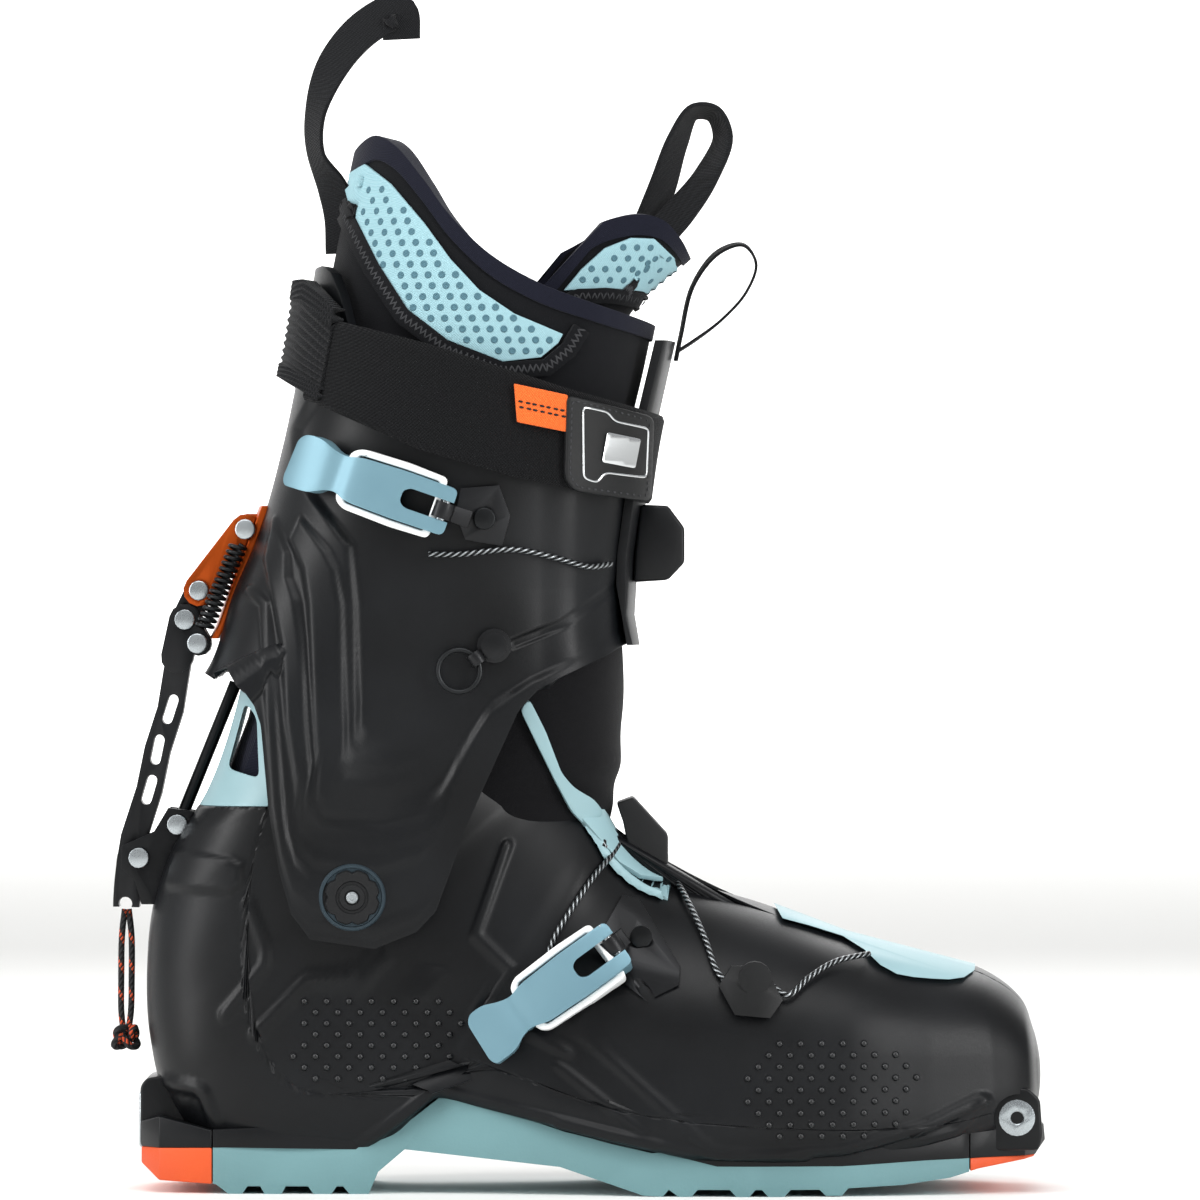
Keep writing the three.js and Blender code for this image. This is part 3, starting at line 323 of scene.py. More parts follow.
liner_fan = Fan([
    [105, 150, -8, 148, 43.5, 0, 2.5, 2.4, 0],
    [105.5, 171, -8, 168, 44, 0, 2.5, 2.4, 0],
    [105.5, 190, -6, 188, 44.6, 0, 2.4, 2.3, 0],
    [108, 214, -0.5, 208, 45.6, 0, 2.3, 2.3, 0],
    [111.5, 238, 7.2, 235, 46.6, 0, 2.3, 2.3, 0],
    [116.5, 260, 12.6, 262, 47.4, 0, 2.3, 2.3, 0],
    [121, 282, 18, 292, 47.4, 0, 2.3, 2.3, 0],
    [125, 302, 22.5, 314, 46.5, 0, 2.3, 2.3, 0],
    [128, 322, 28, 340, 45.5, 0, 2.3, 2.3, 0],
])
tongue_fan = Fan([
    [92, 176, 12, 176, 33, 0, 2.3, 2.3, 0],
    [96, 200, 16, 200, 34, 0, 2.3, 2.3, 0],
    [100, 230, 20, 230, 35, 0, 2.3, 2.3, 0],
    [104, 255, 24, 258, 35, 0, 2.3, 2.3, 0],
    [107.5, 269, 30, 278, 34, 0, 2.3, 2.3, 0],
    [117, 283, 42, 300, 32, 0, 2.3, 2.3, 0],
    [132, 296, 56, 322, 30, 0, 2.3, 2.3, 0],
    [141, 309, 66, 338, 28, 0, 2.3, 2.3, 0],
])


# %% [markdown]
# ## Meshes from grids
# A surface that is a function of two numbers needs no modelling by hand: work out the points of
# a grid, join them, and let Solidify give the wall and Bevel round its rim.


# %% Grids, walls and pieces
def link(name, mesh):
    made = bpy.data.objects.new(name, mesh)
    bpy.context.collection.objects.link(made)
    return made


def face_out(mesh, centre_mm):
    """Turns the faces round if most of them look towards a centre."""
    centre = np.array(centre_mm) * MM
    total = sum(p.area * float(np.dot(np.array(p.center) - centre,
                                      p.normal)) for p in mesh.polygons)
    if total < 0:
        mesh.flip_normals()


def grid_piece(name, points_mm, finish, ring=False, loop=False, centre=None):
    """A mesh from rows x columns of points. ring joins the columns' ends, loop the rows' ends."""
    rows, columns = points_mm.shape[:2]
    i, j = np.meshgrid(np.arange(rows if loop else rows - 1),
                       np.arange(columns if ring else columns - 1),
                       indexing="ij")
    below, right = (i + 1) % rows, (j + 1) % columns
    faces = np.stack([i * columns + j, i * columns + right, below * columns + right,
                      below * columns + j], -1).reshape(-1, 4)
    mesh = bpy.data.meshes.new(name)
    mesh.from_pydata((points_mm.reshape(-1, 3) * MM).tolist(), [], faces.tolist())
    uv = mesh.uv_layers.new(name="along")
    across = np.linspace(0, 1, columns)
    down = np.linspace(0, 1, rows)
    flat = np.array([[across[k % columns], down[k // columns]] for k in faces.reshape(-1)])
    uv.data.foreach_set("uv", flat.reshape(-1))
    face_out(mesh, centre if centre is not None else points_mm.reshape(-1, 3).mean(0))
    mesh.shade_smooth()
    mesh.materials.append(finish)
    return link(name, mesh)


def wall(piece, thickness_mm, edge_mm=0.5, segments=2, offset=-1.0, angle=40):
    solid = piece.modifiers.new("wall", "SOLIDIFY")
    solid.thickness = thickness_mm * MM
    solid.offset = offset
    solid.use_even_offset = False
    if edge_mm:
        soften(piece, edge_mm, segments, angle)
    return piece


def soften(piece, edge_mm, segments=2, angle=40):
    rounding = piece.modifiers.new("edge", "BEVEL")
    rounding.width = edge_mm * MM
    rounding.segments = segments
    rounding.limit_method = "ANGLE"
    rounding.angle_limit = math.radians(angle)
    rounding.harden_normals = False
    return piece


def bake(piece):
    """Turns a piece's modifiers into plain mesh."""
    evaluated = piece.evaluated_get(bpy.context.evaluated_depsgraph_get())
    mesh = bpy.data.meshes.new_from_object(evaluated)
    piece.modifiers.clear()
    piece.data = mesh
    return piece


def settle(piece, body, slot, *nodes):
    """Bakes the modifiers, and tells the frame what the piece rides on and stands for."""
    bake(piece)
    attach(piece, body)
    if nodes:
        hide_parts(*nodes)
    return piece


def prism_mesh(name, outline, y0, y1):
    """The closed solid within an outline of the side view from y0 to y1."""
    points = [(x * MM, y * MM, z * MM) for y in (y0, y1) for x, z in outline]
    n = len(outline)
    faces = [tuple(range(n)), tuple(range(2 * n - 1, n - 1, -1))]
    faces += [(k, k + n, (k + 1) % n + n, (k + 1) % n) for k in range(n)]
    mesh = bpy.data.meshes.new(name)
    mesh.from_pydata(points, [], faces)
    shape = bmesh.new()
    shape.from_mesh(mesh)
    bmesh.ops.recalc_face_normals(shape, faces=shape.faces)
    shape.to_mesh(mesh)
    shape.free()
    return mesh


def cut(piece, outline, y0, y1, keep=False):
    """Removes, or keeps, what lies within an outline of the side view from y0 to y1."""
    cutter = bpy.data.objects.new("cutter", prism_mesh("cutter", outline, y0, y1))
    bpy.context.collection.objects.link(cutter)
    knife = piece.modifiers.new("cut", "BOOLEAN")
    knife.operation = "INTERSECT" if keep else "DIFFERENCE"
    knife.object = cutter
    knife.solver = "EXACT"
    bake(piece)
    bpy.data.objects.remove(cutter)
    return piece


def distance_to(points, line):
    """How far each (x, z) point is from a broken line."""
    best = np.full(points.shape[:-1], 1e9)
    for a, b in zip(np.array(line[:-1], float), np.array(line[1:], float)):
        run = b - a
        share = np.clip(((points - a) @ run) / (run @ run), 0, 1)
        best = np.minimum(best, np.linalg.norm(points - a - share[..., None] * run, axis=-1))
    return best


def inside(points, outline):
    """Whether each (x, z) point lies in a closed outline."""
    x, z = points[..., 0], points[..., 1]
    found = np.zeros(x.shape, bool)
    for (ax, az), (bx, bz) in zip(outline, outline[1:] + outline[:1]):
        crosses = (az > z) != (bz > z)
        found ^= crosses & (x < (bx - ax) * (z - az) / ((bz - az) or 1e-9) + ax)
    return found


def circle(centre, radius, count=24):
    angles = np.linspace(0, 2 * math.pi, count, endpoint=False)
    return [(centre[0] + radius * math.cos(a), centre[1] + radius * math.sin(a)) for a in angles]


def step(value, low, high):
    share = np.clip((value - low) / (high - low), 0, 1)
    return share * share * (3 - 2 * share)


def ridge(points, line, half, height, soft=0.8):
    """A raised line: full height within half, falling away over soft."""
    return height * (1 - step(distance_to(points, line), half, half + soft))


def terrace(points, outline, height, soft=0.9):
    """A raised field: full height inside the outline, sloping down across its edge."""
    edge = distance_to(points, outline + outline[:1])
    signed = np.where(inside(points, outline), edge, -edge)
    return height * step(signed, -soft / 2, soft / 2)


def normals_of(points):
    along = np.gradient(points, axis=0)
    round_ = np.gradient(points, axis=1)
    cross = np.cross(along, round_)
    return cross / np.maximum(np.linalg.norm(cross, axis=-1, keepdims=True), 1e-9)


def raise_by(points, height, centre):
    """Moves grid points out along the surface by a height for each."""
    out = normals_of(points)
    if np.sum(out * (points - centre)) < 0:
        out = -out
    return points + out * height[..., None]


def crossing(values, t):
    """Where along t a signed value first rises through zero."""
    above = values > 0
    if above[0] or not above.any():
        return t[0] if above[0] else t[-1]
    k = int(np.argmax(above))
    return t[k - 1] + (t[k] - t[k - 1]) * values[k - 1] / (values[k - 1] - values[k])


def columns_on(fan, angles, start, stop, rows, grow=0.0):
    """Columns at the given angles, each from where start turns positive to where stop does."""
    t = np.linspace(0, 1, 500)
    columns = []
    for angle in angles:
        path = fan.at(t, np.full(t.shape, angle), grow)
        first = crossing(start(path), t)
        values = np.where(t > first, stop(path), -1.0)
        spread = np.linspace(first, crossing(values, t), rows)
        columns.append(fan.at(spread, np.full(rows, angle), grow))
    return np.stack(columns, axis=1)


def along_x(pairs):
    xs, zs = zip(*pairs)
    return lambda x: np.interp(x, xs, zs)


def smooth_along_x(pairs):
    """As along_x, but the line through the points is a curve."""
    curve = spline(np.array(pairs, float), np.linspace(0, 1, 400))
    return lambda x: np.interp(x, np.maximum.accumulate(curve[:, 0]), curve[:, 1])


# %% [markdown]
# ## The cuff
# The cuff is one thin moulding. Seen from the side it is a tall tube with two long plates that
# reach down to the pivots, and shallow terraces and ribs stiffen those plates. Terraces are cut
# into the surface as real steps, because light catches their edges.

# %% Cuff
LATERAL_START, LATERAL_END = math.radians(-9), math.radians(5)
cuff_low = along_x([
    (-34, 165), (-22, 163), (-12, 160), (-9, 158), (-5.5, 153), (-3.4, 147), (-1, 121), (2, 103),
    (4.5, 92), (8, 83.5), (14, 78.6), (20, 76.9), (26, 76.5), (33, 77.4), (40, 79.6), (46, 83),
    (50.5, 87.5), (53.8, 94), (57.7, 108), (65, 125), (77, 151.5), (83, 158), (90, 162),
    (105, 169), (110, 172), (135, 178),
])
cuff_high = along_x([(-6, 289.5), (11, 290.6), (15, 291.5), (18, 289), (21, 282), (25, 268),
                     (93, 246), (135, 238)])

cuff_panels = [
    ([(7.7, 224), (24.2, 203.4), (26.1, 184.7), (27.7, 121), (43.4, 109.2), (57, 134.4),
      (67.8, 152.2),
      (80.8, 161), (97, 168.5), (113, 177), (113, 200), (112, 240), (60, 250), (20, 262), (6, 240)],
      -2.0, 3.2),
    ([(9, 212), (17.5, 201.5), (20.2, 196), (22.3, 184.7), (23.6, 121.5), (20, 118.6),
      (16.4, 118.5),
      (14.6, 121), (11.5, 184.7), (9.8, 196), (5.6, 205)], 1.7, 2.8),
    ([(0.3, 212), (5.2, 201), (5.5, 193), (8, 186), (9.8, 173.8), (11, 148.1), (13.4, 121),
      (11, 119.5),
      (8.6, 122), (4.6, 148), (3, 173), (-0.6, 190), (-2.6, 199)], 1.5, 2.6),
]
cuff_lines = [
    ([(75.7, 172.5), (90.8, 178.4), (105.8, 189), (112, 194)], 0.6, -1.2, 1.6),
    ([(-7, 189), (-2.3, 184.7), (-1.2, 166.3), (2.3, 117.8), (9, 88)], 0.8, 1.1, 1.8),
    ([(57, 92), (60.5, 108), (67.5, 124), (79.5, 150), (87, 158.5), (104, 166)], 0.4, 0.8, 2.0),
]
PIVOT = np.array([25.2, 93.4])


def cuff_relief(points):
    """Height of the mould's surface over the plain form, in mm, on either side."""
    flat = points[..., [0, 2]]
    height = np.zeros(flat.shape[:-1])
    for outline, rise, soft in cuff_panels:
        height += terrace(flat, outline, rise, soft)
    for line, half, rise, soft in cuff_lines:
        height += ridge(flat, line, half, rise, soft)
    round_pivot = np.linalg.norm(flat - PIVOT, axis=-1)
    height += 1.3 * (1 - step(round_pivot, 13.2, 14.6)) - 1.0 * (1 - step(round_pivot, 10.8, 11.6))
    front = step(flat[..., 0], 84, 96)
    return height * (1 - 0.8 * front)


SWEEP_RADIUS, SWEEP_HALF = 81.0, 44.6


def clear_of_shell(mesh):
    """Moves the corners at the back, behind the collar, off the circle that the collar turns in."""
    points = np.array([v.co for v in mesh.vertices]) / MM
    out = points[:, [0, 2]] - PIVOT
    reach = np.linalg.norm(out, axis=1)
    wide = np.abs(points[:, 1])
    near = (reach < SWEEP_RADIUS) & (wide < SWEEP_HALF)
    aside = near & (SWEEP_RADIUS - reach > SWEEP_HALF - wide)
    points[aside, 1] = np.sign(points[aside, 1]) * (SWEEP_HALF + 0.15 * (wide[aside] - 38))
    up = near & ~aside
    grown = SWEEP_RADIUS + 0.15 * np.maximum(reach[up] - 70, 0)
    points[np.ix_(up, [0, 2])] = PIVOT + out[up] * (grown / reach[up])[:, None]
    mesh.vertices.foreach_set("co", (points * MM).reshape(-1))
    mesh.update()


def uneven(start, stop, count):
    """Angles closer together on the lateral side, where the panels and ribs are seen."""
    even = np.linspace(start, stop, 2000)
    weight = np.where(np.sin(even) < 0, 1.5, 0.75)
    run = np.concatenate([[0], np.cumsum((weight[1:] + weight[:-1]) / 2)])
    return np.interp(np.linspace(0, run[-1], count), run, even)


def make_cuff():
    angles = uneven(LATERAL_END, 2 * math.pi + LATERAL_START, 250)
    points = columns_on(cuff_fan, angles, lambda p: p[:, 2] - cuff_low(p[:, 0]),
                        lambda p: p[:, 2] - cuff_high(p[:, 0]), 180)
    centre = np.array([50.0, 0.0, 180.0])
    points = raise_by(points, cuff_relief(points), centre)
    piece = grid_piece("cuff_shell", points, black_nylon, centre=centre)
    wall(piece, 3.6, 0.8, 3, angle=66)
    bake(piece)
    clear_of_shell(piece.data)
    return settle(piece, "cuff", "shell_black", "cuff")


cuff_piece = make_cuff()
print("cuff", len(cuff_piece.data.polygons))

# %% [markdown]
# ## The lower shell
# The shell is one moulding too. Ridges frame the heel and the sides of the foot, and fields of
# small dots give grip where snow would build up. The ridges are part of the surface; the dots
# repeat, so a node tree sets them.

# %% Lower shell
shell_ridges = [
    ([(-42, 35.4), (-24.7, 33.1), (-21.7, 31.6), (-16, 14.5), (26, 14), (49.8, 32.5), (53.6, 32.5),
      (102.3, 20.6), (139, 12), (178, 14.5), (205, 22), (222, 30)], 0.9, 1.3, 1.8),
    ([(-5.6, 50.3), (10.7, 67.5), (51.7, 68.4), (65.2, 59), (92, 45)], 0.7, 1.2, 1.9),
    ([(-15.2, 56.3), (-2.3, 72.3), (-2.3, 76.9), (-7.6, 91)], 0.6, 1.1, 1.9),
    ([(73.2, 109.2), (63.5, 81.3), (75.7, 69.7), (89.8, 58)], 0.6, 1.1, 1.9),
    ([(94.5, 53), (137.5, 14.7), (166.4, 12.5)], 0.6, 0.9, 1.9),
    ([(89.8, 40.6), (119.8, 17), (90, 23)], 0.5, 0.8, 1.9),
    ([(223, 29.2), (214, 20), (189, 13.2)], 0.6, 1.0, 1.9),
]
heel_strap = [(-41, 96), (-13, 94.5), (-10, 97), (-9.5, 103), (-13, 105), (-36, 108)]


def shell_relief(points):
    flat = points[..., [0, 2]]
    height = np.zeros(flat.shape[:-1])
    for line, half, rise, soft in shell_ridges:
        height += ridge(flat, line, half, rise, soft)
    height += terrace(flat, heel_strap, 1.4, 2.2)
    side = step(np.abs(points[..., 1]), 14, 22)
    return height * side


COLLAR_RADIUS = 79.6
frame_seam = along_x([(-60, 121.3), (-1.5, 121.3), (4, 168), (200, 168)])


def past_collar(points):
    """Positive above the collar, which is cut on a circle about the pivot."""
    reach = np.linalg.norm(points[:, [0, 2]] - PIVOT, axis=1) - COLLAR_RADIUS
    return np.where(points[:, 2] > 119, reach, -1.0)


def past_shell(points):
    return np.maximum(past_collar(points), points[:, 2] - frame_seam(points[:, 0]))


def sector(inner, outer, start, stop):
    turn = np.radians(np.linspace(start, stop, 16))

    def arc(radius, angles):
        return [tuple(PIVOT + radius * np.array([math.cos(a), math.sin(a)])) for a in angles]

    return arc(inner, turn) + arc(outer, turn[::-1])


# Slots for the walk lever and the guide rod, which pass through the back of the shell.
TOE_INSERT = (233.3, 23.75)
ROD_SLOT = ([(-60, 108), (-24, 108), (12, 150), (12, 200), (-60, 200)], 3.4)
channels = [(sector(67.6, 95.6, 160, 222), 6.6), (sector(76.2, 98, 108, 163), 6.6), ROD_SLOT]


def make_shell():
    angles = uneven(0, 2 * math.pi, 281)[:-1]
    always = lambda p: np.ones(len(p))
    points = columns_on(shell_fan, angles, always, past_shell, 250)
    centre = np.array([70.0, 0.0, 60.0])
    points = raise_by(points, shell_relief(points), centre)
    tip = points[0].mean(0)
    share = np.linspace(0, 1, 7)[:-1, None, None]
    cap = tip + (points[0] - tip) * share
    cap[..., 0] += 1.4 * (1 - share[..., 0] ** 2)
    piece = grid_piece("lower_shell_moulding", np.concatenate([cap, points]), black_nylon,
                       ring=True,
                       centre=centre)
    wall(piece, 3.2, 0.0)
    for outline, half in channels + [(circle(TOE_INSERT, 7.4, 40), 60)]:
        cut(piece, outline, -half, half)
    soften(piece, 0.7, 3, 66)
    return settle(piece, "shell", "shell_black", "lower_shell")


shell_piece = make_shell()
print("shell", len(shell_piece.data.polygons))

# %% [markdown]
# ## Pieces cut to an outline
# A plate, lever or strap is flat sheet bent to the boot. So each is drawn as an outline in the
# side view, filled with small triangles, and pressed sideways on to the form it lies on.


# %% Plates on a form
surfaces = {}


def surface_of(fan, grow):
    key = (id(fan), grow)
    if key not in surfaces:
        t, angle = np.meshgrid(np.linspace(0, 1, 220), np.linspace(0, 2 * math.pi, 221),
                               indexing="ij")
        grid = fan.at(t, angle, grow)
        rows, columns = grid.shape[:2]
        i, j = np.meshgrid(np.arange(rows - 1), np.arange(columns - 1), indexing="ij")
        first = i * columns + j
        faces = np.stack([first, first + 1, first + columns + 1, first + columns], -1).reshape(-1,
            4)
        surfaces[key] = BVHTree.FromPolygons(grid.reshape(-1, 3).tolist(), faces.tolist())
    return surfaces[key]


def press(fan, grow, x, z, side=-1):
    """The point of a form's side at (x, z), and its outward normal."""
    tree = surface_of(fan, grow)
    hit, normal, _, _ = tree.ray_cast(Vector((x, side * 150.0, z)), Vector((0, -side, 0)))
    if hit is None:
        hit, normal, _, _ = tree.find_nearest(Vector((x, side * 30.0, z)))
    if normal.y * side < 0:
        normal = -normal
    return np.array(hit), np.array(normal)


def densify(outline, pitch, closed=True):
    points = [np.array(p, float) for p in outline]
    out = []
    pairs = list(zip(points, points[1:] + points[:1] if closed else points[1:]))
    for a, b in pairs:
        count = max(1, int(round(np.linalg.norm(b - a) / pitch)))
        out += [a + (b - a) * k / count for k in range(count)]
    return out if closed else out + [points[-1]]


def rounded(outline, radius, count=4):
    """The outline with each corner turned into a short curve."""
    points = [np.array(p, float) for p in outline]
    out = []
    for before, corner, after in zip(points[-1:] + points[:-1], points, points[1:] + points[:1]):
        near = min(radius, np.linalg.norm(before - corner) / 2.1,
                   np.linalg.norm(after - corner) / 2.1)
        a = corner + (before - corner) / np.linalg.norm(before - corner) * near
        b = corner + (after - corner) / np.linalg.norm(after - corner) * near
        for u in np.linspace(0, 1, count + 1):
            out.append((1 - u) ** 2 * a + 2 * u * (1 - u) * corner + u * u * b)
    return [tuple(p) for p in out]


def sheet_of(outline, holes, pitch):
    """Triangles that fill an outline but not its holes, in the side view."""
    loops = [densify(outline, pitch)] + [densify(hole, pitch * 0.7) for hole in holes]
    points, edges = [], []
    for loop in loops:
        first = len(points)
        points += [Vector(p) for p in loop]
        edges += [(first + k, first + (k + 1) % len(loop)) for k in range(len(loop))]
    low, high = np.min(loops[0], axis=0), np.max(loops[0], axis=0)
    xs, zs = np.meshgrid(np.arange(low[0], high[0], pitch), np.arange(low[1], high[1],
        pitch * 0.87))
    xs = xs + np.where(np.arange(xs.shape[0]) % 2, pitch / 2, 0)[:, None]
    inner = np.stack([xs, zs], -1).reshape(-1, 2)
    keep = inside(inner, [tuple(p) for p in loops[0]])
    for loop in loops:
        keep &= distance_to(inner, [tuple(p) for p in loop] + [tuple(loop[0])]) > pitch * 0.45
    for hole in loops[1:]:
        keep &= ~inside(inner, [tuple(p) for p in hole])
    points += [Vector(p) for p in inner[keep]]
    verts, _, faces, *_ = delaunay_2d_cdt(points, edges, [], 1, 1e-4)
    flat = np.array([tuple(v) for v in verts])
    middles = np.array([flat[list(f)].mean(0) for f in faces])
    good = inside(middles, [tuple(p) for p in loops[0]])
    for hole in loops[1:]:
        good &= ~inside(middles, [tuple(p) for p in hole])
    return flat, [f for f, g in zip(faces, good) if g]


def plate(name, fan, outline, lift, thickness, finish, holes=(), relief=None, pitch=1.3, side=-1,
          edge=0.4, segments=2):
    """A sheet pressed on to a form: its inner face is lift from it, its outer lift + thickness."""
    flat, faces = sheet_of(outline, holes, pitch)
    rise = relief(flat) if relief is not None else np.zeros(len(flat))
    points = []
    for (x, z), h in zip(flat, rise):
        hit, normal = press(fan, lift + thickness, x, z, side)
        points.append((hit + normal * h) * MM)
    mesh = bpy.data.meshes.new(name)
    mesh.from_pydata(points, [], faces)
    uv = mesh.uv_layers.new(name="flat")
    uv.data.foreach_set("uv",
                        (flat[[k for f in mesh.polygons for k in f.vertices]] * MM).reshape(-1))
    mesh.update()
    if sum(p.normal.y * p.area for p in mesh.polygons) * side < 0:
        mesh.flip_normals()
    mesh.shade_smooth()
    mesh.materials.append(finish)
    return wall(link(name, mesh), thickness, edge, segments)


# %% [markdown]
# ## Turned and machined hardware
# Screws, rivets, inserts and link plates keep the frame's own shapes. A copy is merged from loose
# triangles, its flat faces are joined, and a narrow bevel rounds every edge, so it glints.


# %% Refined copies of the frame's solids
def merged(name, node_name, flat_angle=4):
    source = bpy.data.objects[node_name]
    mesh = source.data.copy()
    mesh.name = name
    mesh.materials.clear()
    shape = bmesh.new()
    shape.from_mesh(mesh)
    bmesh.ops.transform(shape, matrix=source.matrix_world, verts=shape.verts)
    bmesh.ops.remove_doubles(shape, verts=shape.verts, dist=2e-5)
    bmesh.ops.dissolve_limit(shape, angle_limit=math.radians(flat_angle), verts=shape.verts,
                             edges=shape.edges)
    shape.to_mesh(mesh)
    shape.free()
    return link(name, mesh)


def refine(node_name, finish, slot, body, edge=0.35, segments=2, angle=28, name=None):
    piece = merged(name or node_name + "_finished", node_name)
    piece.data.materials.append(finish)
    soften(piece, edge, segments, angle)
    piece.modifiers["edge"].use_clamp_overlap = True
    settle(piece, body, slot, node_name)
    piece.data.shade_smooth()
    piece.data.set_sharp_from_angle(angle=math.radians(38))
    return piece


hardware = [
    ("toe_insert", zinc_steel, "steel", "shell", 0.5),
    ("heel_insert", zinc_steel, "steel", "shell", 0.6),
    ("heel_bracket", black_nylon, "shell_black", "shell", 0.5),
    ("bracket_screw_lateral", zinc_steel, "steel", "shell", 0.3),
    ("bracket_screw_medial", zinc_steel, "steel", "shell", 0.3),
    ("rod_pivot_bolt", zinc_steel, "steel", "shell", 0.3),
    ("lower_buckle_base", black_anodised, "steel", "shell", 0.3),
    ("lower_buckle_rivet", dark_steel, "steel", "shell", 0.5),
    ("lower_buckle_pin", zinc_steel, "steel", "shell", 0.2),
    ("shin_plate", black_nylon, "shell_black", "cuff", 0.7),
    ("upper_buckle_base", black_anodised, "steel", "cuff", 0.3),
    ("upper_buckle_rivet", dark_steel, "steel", "cuff", 0.5),
    ("upper_buckle_pin", zinc_steel, "steel", "cuff", 0.2),
    ("cuff_cable_lock", black_nylon, "shell_black", "cuff", 0.9),
    ("ring_tab", black_anodised, "steel", "cuff", 0.4),
    ("link_carrier", orange_anodised, "anodised_orange", "cuff", 0.5),
    ("link_plate_lateral", orange_anodised, "anodised_orange", "cuff", 0.4),
    ("link_plate_medial", orange_anodised, "anodised_orange", "cuff", 0.4),
    ("lever_link", black_anodised, "shell_black", "cuff", 0.4),
    ("link_bolt_upper", zinc_steel, "steel", "cuff", 0.4),
    ("link_bolt_lower", zinc_steel, "steel", "cuff", 0.4),
    ("lever_pivot_bolt", zinc_steel, "steel", "cuff", 0.4),
    ("walk_lever", black_anodised, "shell_black", "walk_lever", 0.6),
    ("spring_post", zinc_steel, "steel", "walk_lever", 0.4),
    ("guide_rod", dark_steel, "steel", "guide_rod", 0.2),
    ("d_ring", dark_steel, "steel", "ring", 0.0),
]
for node_name, finish, slot, body, edge in hardware:
    refine(node_name, finish, slot, body, edge or 0.05)
print("hardware", len(hardware))

# %% [markdown]
# ## Sole
# The rubber is one block to the eye, but the black skirt of the shell comes down over its top. So
# each block is cut along the skirt's edge: rubber below, black plastic above.

# %% Sole, heel and toe blocks
skirt = [(-60, 13.8), (-16, 14.5), (26, 14), (49.8, 32.5), (53.6, 32.5), (102.3, 18.6), (139, 9.5),
         (178, 9.5),
         (205, 11), (222, 11.5), (260, 12)]
below_skirt = skirt + [(260, -20), (-60, -20)]
for node_name, name, finish, slot in (
        ("outsole", "outsole", sole_rubber_blue, "rubber_blue"),
        ("heel_tip_rubber", "heel_tip", sole_rubber_orange, "rubber_orange"),
        ("toe_tip_rubber", "toe_tip", sole_rubber_orange, "rubber_orange")):
    for keep, part, skin, part_slot in ((True, "_rubber", finish, slot),
                                        (False, "_skirt", black_nylon, "shell_black")):
        block = merged(name + part, node_name)
        block.data.materials.append(skin)
        cut(block, below_skirt, -90, 90, keep=keep)
        soften(block, 0.5, 2, 28)
        block.modifiers["edge"].use_clamp_overlap = True
        settle(block, "shell", part_slot, node_name)
        block.data.shade_smooth()
        block.data.set_sharp_from_angle(angle=math.radians(38))

# %% Housings round the binding inserts
housings = (
    ("heel_housing", [(-42.4, 13.9), (-42.4, 33), (-40.5, 35.5), (-34, 36.5), (-30, 30),
                      (-26, 13.9)], 19.5),
    ("toe_housing", [(219, 13.5), (240.2, 13.5), (241.4, 18), (240.6, 29.5), (237, 33), (228, 33.5),
                     (221, 31),
                     (217, 22)], 33.3),
)
for name, outline, half in housings:
    mesh = prism_mesh(name, rounded(outline, 1.5), -half, half)
    mesh.materials.append(black_nylon)
    mesh.shade_smooth()
    housing = soften(link(name, mesh), 0.9, 3, 40)
    settle(housing, "shell", "shell_black")
    housing.data.set_sharp_from_angle(angle=math.radians(38))

# %% [markdown]
# ## Cloth and webbing
# Liner cloth is a fine knit over foam, so it scatters light and shows its yarns only close up.
# Webbing is woven much coarser: warps about 1 mm apart run along it and are bound across. Both
# patterns are waves in the cloth's own coordinates, scaled from the yarn's pitch.


# %% Cloth finishes
def woven(pitch_mm, light, depth_mm=0.12, across=1.0):
    def detail(tree, shader, coordinates):
        where = coordinates.outputs["Object"]
        split = node(tree, "ShaderNodeSeparateXYZ", {"Vector": where})
        turn = 2 * math.pi * 1000 / pitch_mm
        along = maths(tree, "SINE", maths(tree, "MULTIPLY", maths(
            tree, "ADD", split.outputs["X"], maths(tree, "MULTIPLY", split.outputs["Y"], 0.9)),
            turn * across))
        up = maths(tree, "SINE", maths(tree, "MULTIPLY", split.outputs["Z"], turn))
        weave = maths(tree, "MULTIPLY", along, up)
        fuzz = noise(tree, where, pitch_mm * 0.7, 2.0)
        height = maths(tree, "ADD", maths(tree, "MULTIPLY", weave, 0.5), fuzz)
        tone = ramp(tree, height, -0.2, 1.2, 0.0, 1.0)
        tree.links.new(mix(tree, tone, shader_hex[tree], light), shader.inputs["Base Color"])
        bump(tree, shader, height, depth_mm)
    return detail


def cloth_material(name, colour, light, pitch_mm, depth_mm=0.12, roughness=0.9, across=1.0,
                   **sockets):
    def detail(tree, shader, coordinates):
        shader_hex[tree] = colour
        woven(pitch_mm, light, depth_mm, across)(tree, shader, coordinates)
    return material(name, colour, roughness, 0.0, detail, **sockets)


soft = {"Sheen_Weight": 0.06, "Sheen_Roughness": 0.5, "Specular_IOR_Level": 0.15}
neoprene_black = cloth_material("black_neoprene_jersey", "#060709", "#101115", 0.5, 0.08, 0.9,
                                **soft)
lining_navy = cloth_material("navy_brushed_lining", "#0d0e18", "#181a28", 0.6, 0.1, 0.92, **soft)
mesh_blue = cloth_material("pale_blue_spacer_mesh", "#86aeb7", "#9abcc4", 0.8, 0.1, 0.85, **soft)
# Darker blue for the discs set where the mesh has holes: painted shade inside the holes.
hole_shade_blue = cloth_material("grey_blue_painted_hole_shade", "#43646f", "#587d8a", 0.7, 0.1, 0.9, **soft)
strap_loop = cloth_material("black_loop_pile_strap", "#050506", "#131416", 1.1, 0.3, 0.95, **soft)
webbing_black = cloth_material("black_polyester_webbing", "#08090a", "#1a1b1e", 0.9, 0.2, 0.8,
                               **soft)
webbing_orange = cloth_material("orange_nylon_webbing", "#d9541a", "#f57a3a", 0.9, 0.2, 0.75,
                                **soft)
